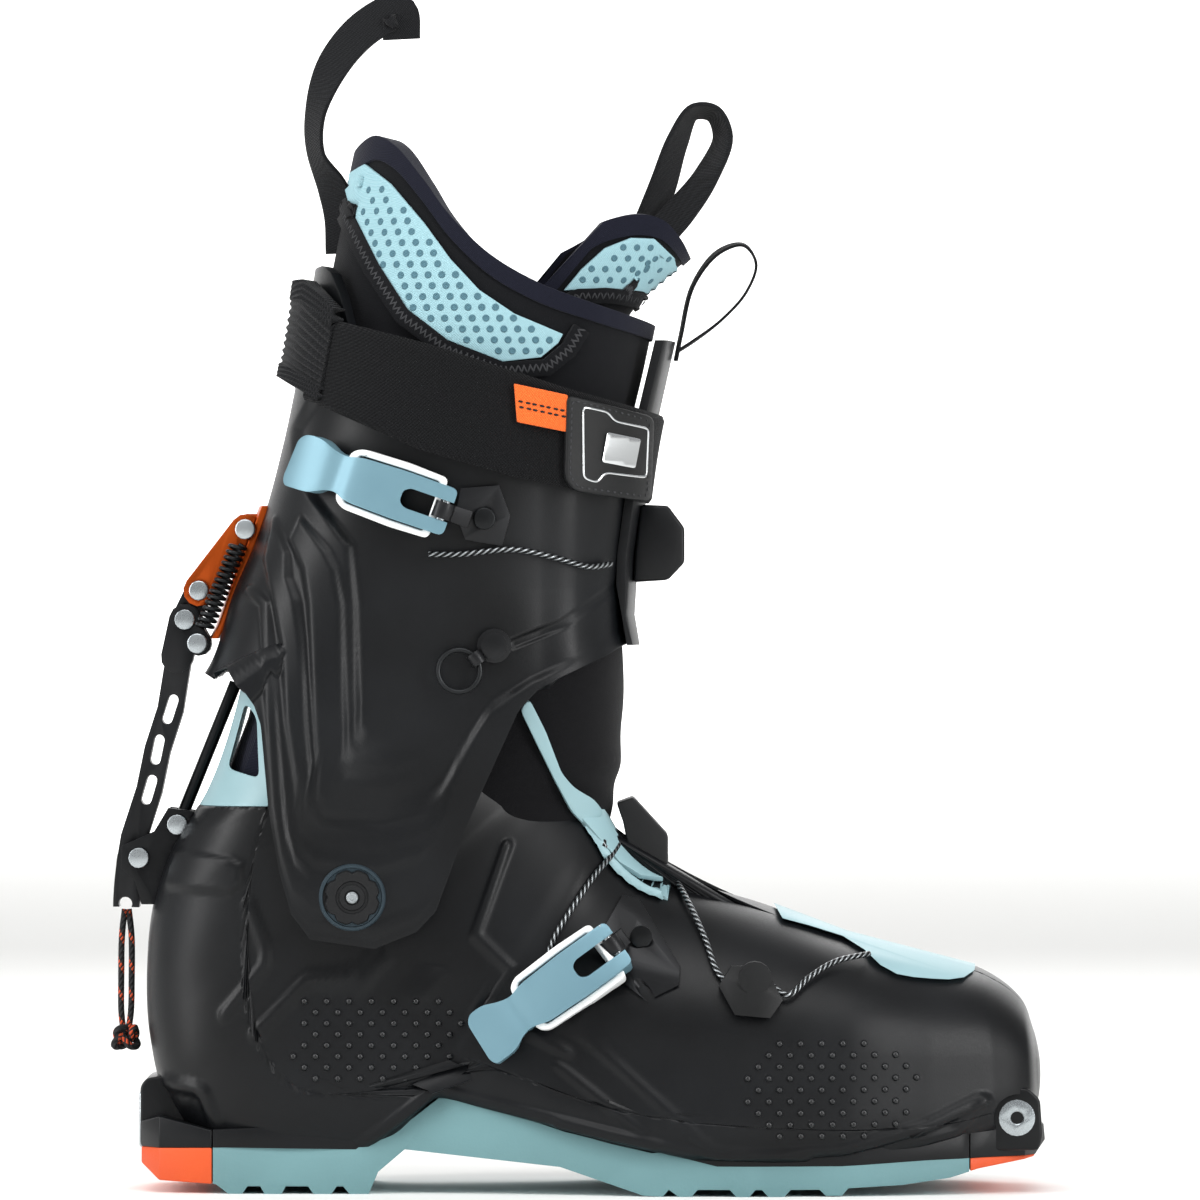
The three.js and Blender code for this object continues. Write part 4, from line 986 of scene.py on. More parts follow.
gaiter_cloth = cloth_material("black_gaiter_cloth", "#060608", "#0d0d10", 0.6, 0.08, 0.88, **soft)
thread_grey = material("grey_black_thread", "#2c2d30", 0.8)
thread_black = material("black_thread", "#0c0c0d", 0.85)
ring_metal = material("blued_metal_ring", "#38454d", 0.35, 0.7)
chrome = material("chromed_metal", "#d5d8da", 0.08, 1.0)
rubber_black = moulded_material("black_moulded_rubber", "#0a0b0c", "#121315", polish=(0.45, 0.6),
                                Specular_IOR_Level=0.3)


# Bright stripes along the twist are painted glints on the strands, and dark stripes are painted shade
# between them; the bump is the twist's own relief.
def braid_painted_glints(tree, shader, coordinates):
    split = node(tree, "ShaderNodeSeparateXYZ", {"Vector": coordinates.outputs["UV"]})
    twist = maths(tree, "ADD", maths(tree, "MULTIPLY", split.outputs["X"], 2 * math.pi * 3),
                  maths(tree, "MULTIPLY", split.outputs["Y"], 2 * math.pi * 420))
    wave = maths(tree, "SINE", twist)
    tone = ramp(tree, wave, 0.0, 1.0, 0.0, 1.0)
    tree.links.new(mix(tree, tone, "#1b1c1d", "#a8adb0"), shader.inputs["Base Color"])
    bump(tree, shader, wave, 0.12)


def flecked(tree, shader, coordinates):
    split = node(tree, "ShaderNodeSeparateXYZ", {"Vector": coordinates.outputs["UV"]})
    twist = maths(tree, "ADD", maths(tree, "MULTIPLY", split.outputs["X"], 2 * math.pi),
                  maths(tree, "MULTIPLY", split.outputs["Y"], 2 * math.pi * 110))
    second = maths(tree, "SUBTRACT", maths(tree, "MULTIPLY", split.outputs["X"], 2 * math.pi * 4),
                   maths(tree, "MULTIPLY", split.outputs["Y"], 2 * math.pi * 500))
    fleck = maths(tree, "MULTIPLY", maths(tree, "GREATER_THAN", maths(tree, "SINE", twist), 0.72),
                  maths(tree, "GREATER_THAN", maths(tree, "SINE", second), -0.3))
    tree.links.new(mix(tree, fleck, "#131315", "#c4471f"), shader.inputs["Base Color"])
    bump(tree, shader, maths(tree, "SINE", second), 0.15)


# The cable's colour carries painted glints and painted shade along its twist.
braided_cable_painted_glints = material("braided_steel_cable_painted_glints", "#77797b", 0.35, 0.8, braid_painted_glints)
cord_flecked = material("black_orange_braided_cord", "#131315", 0.8, 0.0, flecked)


# %% [markdown]
# ## Tubes and ribbons
# A cable is a circle swept along a line; webbing is a thin rectangle whose width may turn as it
# goes, which is how a loop gets its twist.

# %% Tubes and ribbons
def frames_along(path):
    """Tangent and two side directions at each point, turning as little as they can."""
    path = np.asarray(path, float)
    tangent = np.gradient(path, axis=0)
    tangent /= np.linalg.norm(tangent, axis=1, keepdims=True)
    side = np.cross(tangent[0], [0, 1, 0.2])
    sides = []
    for t in tangent:
        side = side - t * (side @ t)
        side /= np.linalg.norm(side)
        sides.append(side)
    sides = np.array(sides)
    return tangent, sides, np.cross(tangent, sides)


def curve_through(points, count=60):
    return spline(np.asarray(points, float), np.linspace(0, 1, count))


def tube(name, path, radius, finish, sides=12, closed=False):
    """A round tube; its UV runs round it in turns and along it in metres."""
    path = np.asarray(path, float)
    _, a, b = frames_along(path)
    angles = np.linspace(0, 2 * math.pi, sides, endpoint=False)
    rings = (path[:, None] + radius * (np.cos(angles)[None, :, None] * a[:, None]
                                       + np.sin(angles)[None, :, None] * b[:, None]))
    if not closed:
        rings = np.concatenate([path[:1, None] + (rings[:1] - path[:1, None]) * 1e-3, rings,
                                path[-1:, None] + (rings[-1:] - path[-1:, None]) * 1e-3])
    piece = grid_piece(name, rings, finish, ring=True, loop=closed)
    run = np.concatenate([[0], np.cumsum(np.linalg.norm(np.diff(path, axis=0), axis=1))]) * MM
    if not closed:
        run = np.concatenate([[0], run, [run[-1]]])
    uv = piece.data.uv_layers[0]
    total = len(run)
    values = []
    for polygon in piece.data.polygons:
        ring_of = [v // sides for v in polygon.vertices]
        turn_of = [v % sides for v in polygon.vertices]
        wraps = max(turn_of) == sides - 1 and min(turn_of) == 0
        for r, c in zip(ring_of, turn_of):
            values += [1.0 if wraps and c == 0 else c / sides, run[r % total]]
    uv.data.foreach_set("uv", values)
    shape = bmesh.new()
    shape.from_mesh(piece.data)
    bmesh.ops.recalc_face_normals(shape, faces=shape.faces)
    shape.to_mesh(piece.data)
    shape.free()
    return piece


def ribbon(name, points, turns, width, thickness, finish, count=70):
    """Webbing: turns gives, at each point, how far its width is turned from across the boot."""
    path = curve_through(points, count)
    turn = np.radians(spline(np.array([[a, 0.0] for a in turns]), np.linspace(0, 1, count))[:, 0])
    tangent = np.gradient(path, axis=0)
    tangent /= np.linalg.norm(tangent, axis=1, keepdims=True)
    across = np.array([0.0, 1.0, 0.0]) - tangent * tangent[:, 1:2]
    across /= np.linalg.norm(across, axis=1, keepdims=True)
    other = np.cross(tangent, across)
    wide = across * np.cos(turn)[:, None] + other * np.sin(turn)[:, None]
    thin = np.cross(tangent, wide)
    shares = np.linspace(-0.5, 0.5, 9)
    rows = path[:, None] + wide[:, None] * (shares * width)[None, :, None]
    rows = rows + thin[:, None] * thickness / 2
    piece = grid_piece(name, rows, finish)
    return wall(piece, thickness, 0.3, 2, offset=-1.0)


# %% [markdown]
# ## What repeats
# Dots on the shell, holes in the mesh and stitches are one small shape set many times. A node tree
# puts that shape on each point of a cloud and turns it to the cloud's own direction; the script
# only works out where the points go.

# %% Instances on points
def scatter_tree(name):
    tree = bpy.data.node_groups.new(name, "GeometryNodeTree")
    face = tree.interface
    face.new_socket("Geometry", in_out="INPUT", socket_type="NodeSocketGeometry")
    size = face.new_socket("Size", in_out="INPUT", socket_type="NodeSocketFloat")
    squash = face.new_socket("Stretch", in_out="INPUT", socket_type="NodeSocketVector")
    shape = face.new_socket("Shape", in_out="INPUT", socket_type="NodeSocketObject")
    finish = face.new_socket("Finish", in_out="INPUT", socket_type="NodeSocketMaterial")
    face.new_socket("Geometry", in_out="OUTPUT", socket_type="NodeSocketGeometry")
    start = node(tree, "NodeGroupInput")
    info = node(tree, "GeometryNodeObjectInfo", {"Object": start.outputs["Shape"]})
    out = node(tree, "GeometryNodeInputNamedAttribute", {"Name": "out"}, data_type="FLOAT_VECTOR")
    along = node(tree, "GeometryNodeInputNamedAttribute", {"Name": "along"},
                 data_type="FLOAT_VECTOR")
    first = node(tree, "FunctionNodeAlignRotationToVector", {"Vector": out.outputs[0]}, axis="Z")
    second = node(tree, "FunctionNodeAlignRotationToVector",
                  {"Rotation": first.outputs[0], "Vector": along.outputs[0]}, axis="X",
                  pivot_axis="Z")
    scale = node(tree, "ShaderNodeVectorMath", operation="SCALE")
    tree.links.new(start.outputs["Stretch"], scale.inputs[0])
    tree.links.new(start.outputs["Size"], scale.inputs["Scale"])
    cloud = node(tree, "GeometryNodeMeshToPoints", {"Mesh": start.outputs["Geometry"]})
    placed = node(tree, "GeometryNodeInstanceOnPoints", {
        "Points": cloud.outputs[0], "Instance": info.outputs["Geometry"],
        "Rotation": second.outputs[0], "Scale": scale.outputs[0]})
    real = node(tree, "GeometryNodeRealizeInstances", {"Geometry": placed.outputs[0]})
    painted = node(tree, "GeometryNodeSetMaterial", {
        "Geometry": real.outputs[0], "Material": start.outputs["Finish"]})
    node(tree, "NodeGroupOutput", {"Geometry": painted.outputs[0]})
    return tree, {"Size": size, "Stretch": squash, "Shape": shape, "Finish": finish}


tree_scatter, scatter_sockets = scatter_tree("set_on_points")


def seed_shape(name, sides, profile):
    """A little turned shape about Z; profile gives radius and height of each ring."""
    mesh = bpy.data.meshes.new(name)
    points, faces = [], []
    for radius, height in profile:
        for k in range(sides):
            a = 2 * math.pi * k / sides
            points.append((radius * math.cos(a), radius * math.sin(a), height))
    for r in range(len(profile) - 1):
        for k in range(sides):
            n = (k + 1) % sides
            faces.append((r * sides + k, r * sides + n, (r + 1) * sides + n, (r + 1) * sides + k))
    faces.append(tuple(range(sides))[::-1])
    faces.append(tuple((len(profile) - 1) * sides + k for k in range(sides)))
    mesh.from_pydata(points, [], faces)
    mesh.shade_smooth()
    return bpy.data.objects.new(name, mesh)


dot_shape = seed_shape("dot", 10, [(1.0, -0.3), (0.9, 0.15), (0.6, 0.42), (0.25, 0.5)])
ring_shape = seed_shape("eyelet", 10, [(1.0, -0.2), (1.0, 0.12), (0.62, 0.16), (0.5, 0.02),
                                       (0.2, 0.06)])
stitch_shape = seed_shape("stitch", 6, [(0.55, -0.25), (1.0, 0.0), (0.6, 0.35)])


def scatter(name, places, shape, size_mm, stretch, finish):
    """places: (point, outward, along) for each copy, in mm. Gives a plain mesh object."""
    mesh = bpy.data.meshes.new(name + "_points")
    mesh.from_pydata([p * MM for p, _, _ in places], [], [])
    for key, k in (("out", 1), ("along", 2)):
        values = mesh.attributes.new(key, "FLOAT_VECTOR", "POINT")
        values.data.foreach_set("vector", np.array([place[k] for place in places],
                                                   float).reshape(-1))
    cloud = link(name, mesh)
    setting = cloud.modifiers.new("set", "NODES")
    setting.node_group = tree_scatter
    values = {"Size": size_mm * MM, "Stretch": stretch, "Shape": shape, "Finish": finish}
    for key, value in values.items():
        setting[scatter_sockets[key].identifier] = value
    return bake(cloud)


def lattice(outline, pitch, row_pitch, lean=0.0):
    """A staggered lattice of points inside an outline."""
    low, high = np.min(outline, axis=0), np.max(outline, axis=0)
    found = []
    for r, z in enumerate(np.arange(low[1], high[1], row_pitch)):
        for x in np.arange(low[0] - pitch, high[0], pitch):
            place = (x + (pitch / 2 if r % 2 else 0) + lean * (z - low[1]), z)
            if inside(np.array(place), outline) and distance_to(
                    np.array([place]), outline + outline[:1])[0] > pitch * 0.3:
                found.append(place)
    return found


def on_surface(fan, grow, places, along=(1, 0, 0), side=-1):
    out = []
    for place in places:
        x, z = place[:2]
        direction = place[2] if len(place) > 2 else along
        hit, normal = press(fan, grow, x, z, side)
        out.append((hit, normal, direction))
    return out


def stitches(line, pitch, offset=0.0, zigzag=0.0):
    """Places along a line for stitches, with the direction each one lies in."""
    points = densify(line, 0.4, closed=False)
    run = np.concatenate([[0], np.cumsum(np.linalg.norm(np.diff(points, axis=0), axis=1))])
    points = np.array(points)
    places = []
    for k, s in enumerate(np.arange(pitch / 2, run[-1], pitch)):
        i = min(int(np.searchsorted(run, s)), len(points) - 2)
        d = points[i + 1] - points[max(i - 1, 0)]
        d = d / np.linalg.norm(d)
        n = np.array([-d[1], d[0]])
        lie = d + n * zigzag * (1 if k % 2 else -1)
        p = points[i] + n * offset
        places.append((p[0], p[1], (lie[0], 0.0, lie[1])))
    return places


def finish_piece(piece, body, slot, *nodes):
    """For pieces with no modifiers left."""
    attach(piece, body)
    if nodes:
        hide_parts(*nodes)
    return piece


# %% [markdown]
# ## Dots on the shell
# Two fields of low domes, about 2.2 mm wide, are moulded into the lateral side. The inner side of
# the boot has the same.

# %% Dots
# The dots' plastic is the shell's black painted a little lighter, a painted highlight on each dome,
# and it is also given lower roughness.
dot_nylon_painted_highlight = moulded_material("black_nylon_polished_painted_highlight", "#0c0d0f", "#131518", depth=0.01,
                             polish=(0.28, 0.36),
                             Specular_IOR_Level=0.5)
heel_field = [(3, 46), (8, 62), (14, 66), (52, 66), (62, 58), (60, 44), (52, 36), (40, 33),
              (14, 33), (4, 38)]
toe_field = [(142, 30), (150, 48), (164, 52), (190, 51), (203, 42), (204, 30), (196, 20),
             (180, 15.5), (160, 15.5),
             (148, 20)]
for side, side_name in ((-1, "lateral"), (1, "medial")):
    places = on_surface(shell_fan, 0.0, lattice(heel_field, 7.0, 3.45), side=side)
    places += on_surface(shell_fan, 0.0, lattice(toe_field, 6.6, 3.6), side=side)
    dots = scatter("grip_dots_" + side_name, places, dot_shape, 1.2, (1, 1, 1.8), dot_nylon_painted_highlight)
    finish_piece(dots, "shell", "shell_black")
print("dots", len(places), "a side")

# %% [markdown]
# ## Light-blue parts of the shell
# A second, softer plastic is moulded into the shell: two frames behind the ankle and the lip along
# the front opening. The frames are cut from the same fan, and a window is cut through each.


# %% Rear frames and collar lip
frame_window = rounded([(-9.3, 154), (-14.8, 133.2), (-4.4, 130.2), (-5.4, 149.5)], 2.5)
for side, side_name in ((-1, "lateral"), (1, "medial")):
    span = np.linspace(math.radians(174), math.radians(112), 90) * side
    points = columns_on(shell_fan, span, lambda p: np.where(p[:, 0] < 60, p[:, 2] - 121.6, -1.0),
                        lambda p: past_collar(p) + 0.4, 70, grow=-0.1)
    frame_piece = grid_piece("rear_frame_" + side_name + "_moulding", points, pale_blue_nylon,
                             centre=np.array([20.0, 0.0, 140.0]))
    wall(frame_piece, 3.0, 0.0)
    cut(frame_piece, frame_window, min(side * 2, side * 90), max(side * 2, side * 90))
    for outline, half in channels:
        cut(frame_piece, outline, -half, half)
    soften(frame_piece, 0.6, 2, 50)
    settle(frame_piece, "shell", "shell_blue", "rear_frame_" + side_name)

collar_lip = [(96, 126.2), (100.8, 123.4), (106.5, 120.6), (111, 112), (119, 106), (123.1, 102),
              (126.3, 97.2),
              (120, 97.6), (114.8, 98.5), (107.8, 103), (102, 110), (94.6, 118.6)]
for side, side_name in ((-1, "lateral"), (1, "medial")):
    lip = plate("collar_lip_" + side_name, shell_fan, collar_lip, -0.6, 1.5, pale_blue_nylon,
                side=side, edge=0.4)
    settle(lip, "shell", "shell_blue")

refine("toe_overlap", pale_blue_nylon, "shell_blue", "shell", 0.25, 2)

# %% [markdown]
# ## Gaiter
# Between the shell and the cuff a sleeve of thin cloth keeps snow out. It is fixed to both, so it
# bends as the cuff leans; here it is built in one pose and attached to neither body.

# %% Gaiter and instep flap
gaiter_fan = Fan([
    [105.5, 116, 20, 104, 30.0, 0, 2.3, 2.3, 0],
    [107.2, 126, 20, 114, 32.0, 0, 2.3, 2.3, 0],
    [108.8, 136, 20, 130, 34.5, 0, 2.4, 2.4, 0],
    [109.8, 152, 20, 148, 37.5, 0, 2.5, 2.5, 0],
    [109.6, 172, 18, 166, 43.0, 0, 2.5, 2.5, 0],
    [107.4, 190, 14, 186, 44.6, 0, 2.5, 2.5, 0],
])


def make_gaiter():
    t = np.linspace(0.02, 0.98, 80)
    angle = np.linspace(math.radians(-98), math.radians(98), 120)
    grid_t, grid_angle = np.meshgrid(t, angle, indexing="ij")
    points = gaiter_fan.at(grid_t, grid_angle)
    folds = 0.5 * np.sin(grid_t * 21) * np.exp(-((grid_t - 0.35) / 0.3) ** 2)
    points = raise_by(points, folds, np.array([60.0, 0.0, 150.0]))
    piece = grid_piece("gaiter_cloth", points, gaiter_cloth, centre=np.array([60.0, 0.0, 150.0]))
    wall(piece, 1.4, 0.0)
    bake(piece)
    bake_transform(piece)
    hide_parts("gaiter")
    return piece


gaiter_piece = make_gaiter()
collar_wing = [(77.5, 151.8), (80.4, 155.2), (85.5, 145.1), (90.6, 131.7), (94.4, 127.2),
               (101, 123.2), (104, 119),
               (98.5, 114.5), (93.8, 119.5), (88.6, 129.1), (82.3, 141.9)]
for side, side_name in ((-1, "lateral"), (1, "medial")):
    wing = plate("collar_wing_" + side_name, gaiter_fan, rounded(collar_wing, 2.0), 0.9, 1.5,
                 pale_blue_nylon,
                 side=side, edge=0.4)
    settle(wing, "shell", "shell_blue")
refine("instep_flap", rubber_black, "fabric_black", "shell", 1.2, 3)
print("gaiter", len(gaiter_piece.data.polygons))

# %% [markdown]
# ## Liner
# The liner is foam between a tough outside and a brushed lining. Its collar shows above the cuff:
# black neoprene, a panel of blue spacer mesh on each side with round holes, a bound and stitched
# border, and a thick rolled edge.

# %% Liner shaft
liner_top = smooth_along_x([(-40, 296), (10, 304), (16, 314), (21.3, 323.5), (26, 329.5),
                            (31.4, 332.4), (37.3, 329.5),
                     (47.4, 317.6), (54.75, 307.5), (67.6, 294.7), (83.2, 285.5), (98, 280),
                     (112.5, 275.4),
                     (130, 270)])


liner_foot_line = along_x([(60, 100), (80, 142), (98, 166), (135, 170)])


def make_liner():
    angles = np.linspace(0, 2 * math.pi, 220, endpoint=False)
    points = columns_on(liner_fan, angles,
                        lambda p: np.minimum(np.linalg.norm(p[:, [0, 2]] - PIVOT, axis=1) - 91.5,
                                             p[:, 2] - liner_foot_line(p[:, 0])),
                        lambda p: p[:, 2] - liner_top(p[:, 0]) + 2.2, 110)
    body = grid_piece("liner_collar", points, neoprene_black, ring=True,
                      centre=np.array([55.0, 0, 240.0]))
    wall(body, 6.2, 0.0)
    cut(body, ROD_SLOT[0], -4.4, 4.4)
    soften(body, 1.4, 3, 66)
    settle(body, "cuff", "liner_navy", "liner_shaft")
    edge = columns_on(liner_fan, angles,
                      lambda p: p[:, 2] - liner_top(p[:, 0]) + 7.0 - 0.03 * (p[:, 0] - 60),
                      lambda p: p[:, 2] - liner_top(p[:, 0]), 14, grow=0.9)
    roll = grid_piece("liner_rolled_edge", edge, lining_navy, ring=True,
                      centre=np.array([55.0, 0, 240.0]))
    wall(roll, 8.0, 3.4, 5)
    settle(roll, "cuff", "liner_navy")
    return body


make_liner()
mesh_panel = [(28.2, 323.4), (36.4, 316.8), (47.4, 304), (55.7, 292.7), (64.8, 283), (75.8, 275.6),
              (91, 269.3),
              (89.5, 266.5), (84.1, 262), (72.2, 260.6), (54.8, 267.4), (41.9, 277.4), (32.75, 291),
              (23.6, 309.6),
              (20.5, 320)]
border_line = [(19.6, 312), (22.4, 306), (30.8, 289.8), (40.5, 275), (54, 264.7), (72, 257.8),
               (86, 258.8),
               (93, 264.5), (97, 271)]


def band_along(line, width):
    """The outline of a band of even width about a line."""
    points = np.array(densify(line, 3.0, closed=False))
    along = np.gradient(points, axis=0)
    along /= np.linalg.norm(along, axis=1, keepdims=True)
    out = np.stack([-along[:, 1], along[:, 0]], 1) * width / 2
    return [tuple(p) for p in points + out] + [tuple(p) for p in (points - out)[::-1]]


for side, side_name in ((-1, "lateral"), (1, "medial")):
    panel = plate("liner_mesh_" + side_name, liner_fan, mesh_panel, 0.1, 1.3, mesh_blue, side=side,
                  edge=0.5)
    settle(panel, "cuff", "shell_blue")
    # The holes are darker dishes set on the mesh, painted with the shade that falls inside each hole.
    holes = on_surface(liner_fan, 1.4, lattice(mesh_panel, 4.3, 3.4, 0.25), side=side)
    hole_shade_discs = scatter("mesh_holes_" + side_name, holes, ring_shape, 1.15, (1, 1, 0.7), hole_shade_blue)
    finish_piece(hole_shade_discs, "cuff", "shell_blue")
    band = plate("liner_border_" + side_name, liner_fan, band_along(border_line, 5.2), 0.1, 1.9,
                 neoprene_black,
                 side=side, edge=0.7)
    settle(band, "cuff", "liner_navy")
    seam = on_surface(liner_fan, 2.0, stitches(border_line, 0.95, 0.0, 2.2), side=side)
    sewn = scatter("border_stitches_" + side_name, seam, stitch_shape, 0.32, (5.2, 1.0, 1.0),
                   thread_grey)
    finish_piece(sewn, "cuff", "fabric_black")

# %% Tongue
tongue_top = smooth_along_x([(40, 270), (72, 275), (84.5, 284.5), (92.3, 296), (101.5, 304),
                             (115.2, 307.4), (122.6, 305.6),
                      (128, 300), (131.5, 294), (140, 280)])


def make_tongue():
    angles = np.linspace(math.radians(-84), math.radians(84), 110)
    start = lambda p: p[:, 2] - 188
    points = columns_on(tongue_fan, angles, start, lambda p: p[:, 2] - tongue_top(p[:, 0]) + 2, 90)
    centre = np.array([70.0, 0, 250.0])
    body = grid_piece("tongue_pad", points, neoprene_black, centre=centre)
    wall(body, 5.4, 1.4, 3)
    settle(body, "cuff", "liner_navy", "liner_tongue")
    edge = columns_on(tongue_fan, angles, lambda p: p[:, 2] - tongue_top(p[:, 0]) + 6.5,
                      lambda p: p[:, 2] - tongue_top(p[:, 0]), 12, grow=0.8)
    roll = grid_piece("tongue_rolled_edge", edge, lining_navy, centre=centre)
    wall(roll, 7.0, 3.0, 5)
    settle(roll, "cuff", "liner_navy")


make_tongue()
tongue_panel = [(91.4, 283.4), (96.9, 290), (104.2, 296.6), (112.5, 299.9), (119.8, 299.6),
                (126, 294), (127.5, 288),
                (124.5, 280), (116, 283.6), (104.2, 284.4)]
tongue_line = [(88, 278), (96, 281.6), (106, 281.8), (116, 280.6), (122, 276.6), (124.5, 272.5)]
for side, side_name in ((-1, "lateral"), (1, "medial")):
    panel = plate("tongue_mesh_" + side_name, tongue_fan, tongue_panel, 0.1, 1.2, mesh_blue,
                  side=side, edge=0.4)
    settle(panel, "cuff", "shell_blue")
    # As on the liner, the holes are darker dishes painted with the shade inside each hole.
    holes = on_surface(tongue_fan, 1.3, lattice(tongue_panel, 4.3, 3.4, 0.2), side=side)
    hole_shade_discs = scatter("tongue_holes_" + side_name, holes, ring_shape, 1.1, (1, 1, 0.7), hole_shade_blue)
    finish_piece(hole_shade_discs, "cuff", "shell_blue")
    band = plate("tongue_border_" + side_name, tongue_fan, band_along(tongue_line, 4.6), 0.1, 1.7,
                 neoprene_black,
                 side=side, edge=0.6)
    settle(band, "cuff", "liner_navy")
    seam = on_surface(tongue_fan, 1.8, stitches(tongue_line, 0.95, 0.0, 2.0), side=side)
    finish_piece(scatter("tongue_stitches_" + side_name, seam, stitch_shape, 0.3, (4.6, 1, 1),
                         thread_grey),
                 "cuff", "fabric_black")
print("liner and tongue done")

# %% [markdown]
# ## Power strap
# A wide strap of loop pile runs round the top of the cuff from a ribbed elastic yoke at the back.
# The pile is short and even, so its weave shows as rows; the yoke's ribs are part of its surface.

# %% Strap and yoke
strap_high = along_x([(10, 276), (22.35, 273), (49, 266), (93, 252), (135, 241)])
strap_low = along_x([(10, 249), (22.35, 243.5), (46, 233), (76, 224.4), (93, 221), (135, 214)])
yoke_high = along_x([(-20, 288), (9.8, 287), (25, 272)])
yoke_low = along_x([(-20, 259), (-0.2, 257.5), (25, 242)])


def make_strap():
    centre = np.array([60.0, 0, 250.0])
    angles = np.radians(np.linspace(-146, 146, 220))
    points = columns_on(cuff_fan, angles, lambda p: p[:, 2] - strap_low(p[:, 0]),
                        lambda p: p[:, 2] - strap_high(p[:, 0]), 40, grow=5.0)
    share = np.linspace(0, 1, 40)[:, None]
    rounded_edge = -0.8 * (1 - step(np.minimum(share, 1 - share) * 28, 0,
                                    1.6)) * np.ones(points.shape[:2])
    points = raise_by(points, rounded_edge, centre)
    strap = grid_piece("power_strap_pile", points, strap_loop, centre=centre)
    wall(strap, 2.4, 0.5, 2)
    settle(strap, "cuff", "webbing", "power_strap")
    angles = np.radians(np.linspace(136, 224, 120))
    points = columns_on(cuff_fan, angles, lambda p: p[:, 2] - yoke_low(p[:, 0]),
                        lambda p: p[:, 2] - yoke_high(p[:, 0]), 150, grow=6.0)
    share = np.linspace(0, 1, 150)[:, None]
    ribs = 0.35 * np.sin(share * 2 * math.pi * 13) * np.where((share > 0.18) & (share < 0.82), 1, 0)
    hem = 0.5 * (step(share, 0.80, 0.84) + 1 - step(share, 0.16, 0.2))
    wide = np.linspace(-1, 1, 120)[None, :]
    pattern = (ribs + hem) * np.ones_like(wide) + 0.25 * np.sin(wide * 180 + share * 60) * (hem > 0.3)
    points = raise_by(points, pattern, centre)
    yoke = grid_piece("strap_yoke_ribbed", points, webbing_black, centre=centre)
    wall(yoke, 4.2, 0.8, 3)
    settle(yoke, "cuff", "webbing", "strap_yoke")


make_strap()
tab_outline = [(75.8, 253.5), (92.6, 250.0), (92.6, 238.4), (76.8, 241.5)]
tab = plate("orange_pull_tab", cuff_fan, tab_outline, 5.4, 1.7, webbing_orange, edge=0.4)
settle(tab, "cuff", "rubber_orange", "strap_pull_tab")
tab_rows = [[(76.6, 248.2), (92, 245.0)], [(76.9, 246.4), (92, 243.2)]]
places = [p for row in tab_rows for p in on_surface(cuff_fan, 7.2, stitches(row, 2.2))]
finish_piece(scatter("tab_stitches", places, stitch_shape, 0.4, (2.2, 1, 1), thread_black), "cuff",
             "webbing")

badge_outline = rounded([(92.4, 250), (119.8, 243.6), (118.8, 217.0), (94.6, 220.0), (91.8, 224)],
                        2.4)
badge = plate("strap_badge_rubber", cuff_fan, badge_outline, 5.4, 2.4, rubber_black, edge=0.8,
              segments=3)
settle(badge, "cuff", "strap_badge", "strap_plate")
inner_badge = [(97.2, 246.4), (105, 244.8), (107, 242), (117.6, 240), (117, 224.6), (104, 226),
               (101.6, 222.8),
               (97.4, 224.2)]


def line_on(name, fan, line, grow, radius, finish, body, slot, side=-1, closed=True, sides=10):
    path = np.array([press(fan, grow, x, z, side)[0] for x, z in densify(line, 1.0, closed)])
    if closed:
        path = np.concatenate([path, path[:1]])
    return finish_piece(tube(name, path, radius, finish, sides), body, slot)


line_on("badge_chrome_line", cuff_fan, rounded(inner_badge, 1.6), 7.9, 0.42, chrome, "cuff",
        "steel")
square = [(104.8, 238.6), (115.4, 236.6), (113.6, 227.4), (103.2, 229.2)]
badge_square = plate("badge_blank_square", cuff_fan, rounded(square, 0.8), 7.7, 0.9, chrome,
                     edge=0.35)
settle(badge_square, "cuff", "steel")
border = rounded([(93.8, 248.4), (118.3, 242.4), (117.4, 218.6), (95.4, 221.4), (93.2, 225)], 2.0)
finish_piece(scatter("badge_stitches", on_surface(cuff_fan, 7.9,
                                                  stitches(border + border[:1], 2.0)), stitch_shape,
                     0.32, (2.2, 1, 1), thread_grey), "cuff", "webbing")
print("strap done")

# %% [markdown]
# ## Buckles
# Each buckle is a blue lever in a white frame. Lever and frame are flat forgings bent to the boot:
# the same outline method, thick, with a well rounded edge and a slot where the cable hook sits.


# %% Levers and frames
def buckle_place(hinge, towards):
    hinge, towards = np.array(hinge), np.array(towards)
    u = (towards - hinge) / np.linalg.norm(towards - hinge)
    v = np.array([-u[1], u[0]])
    return lambda pairs: [tuple(hinge + u * a + v * b) for a, b in pairs]


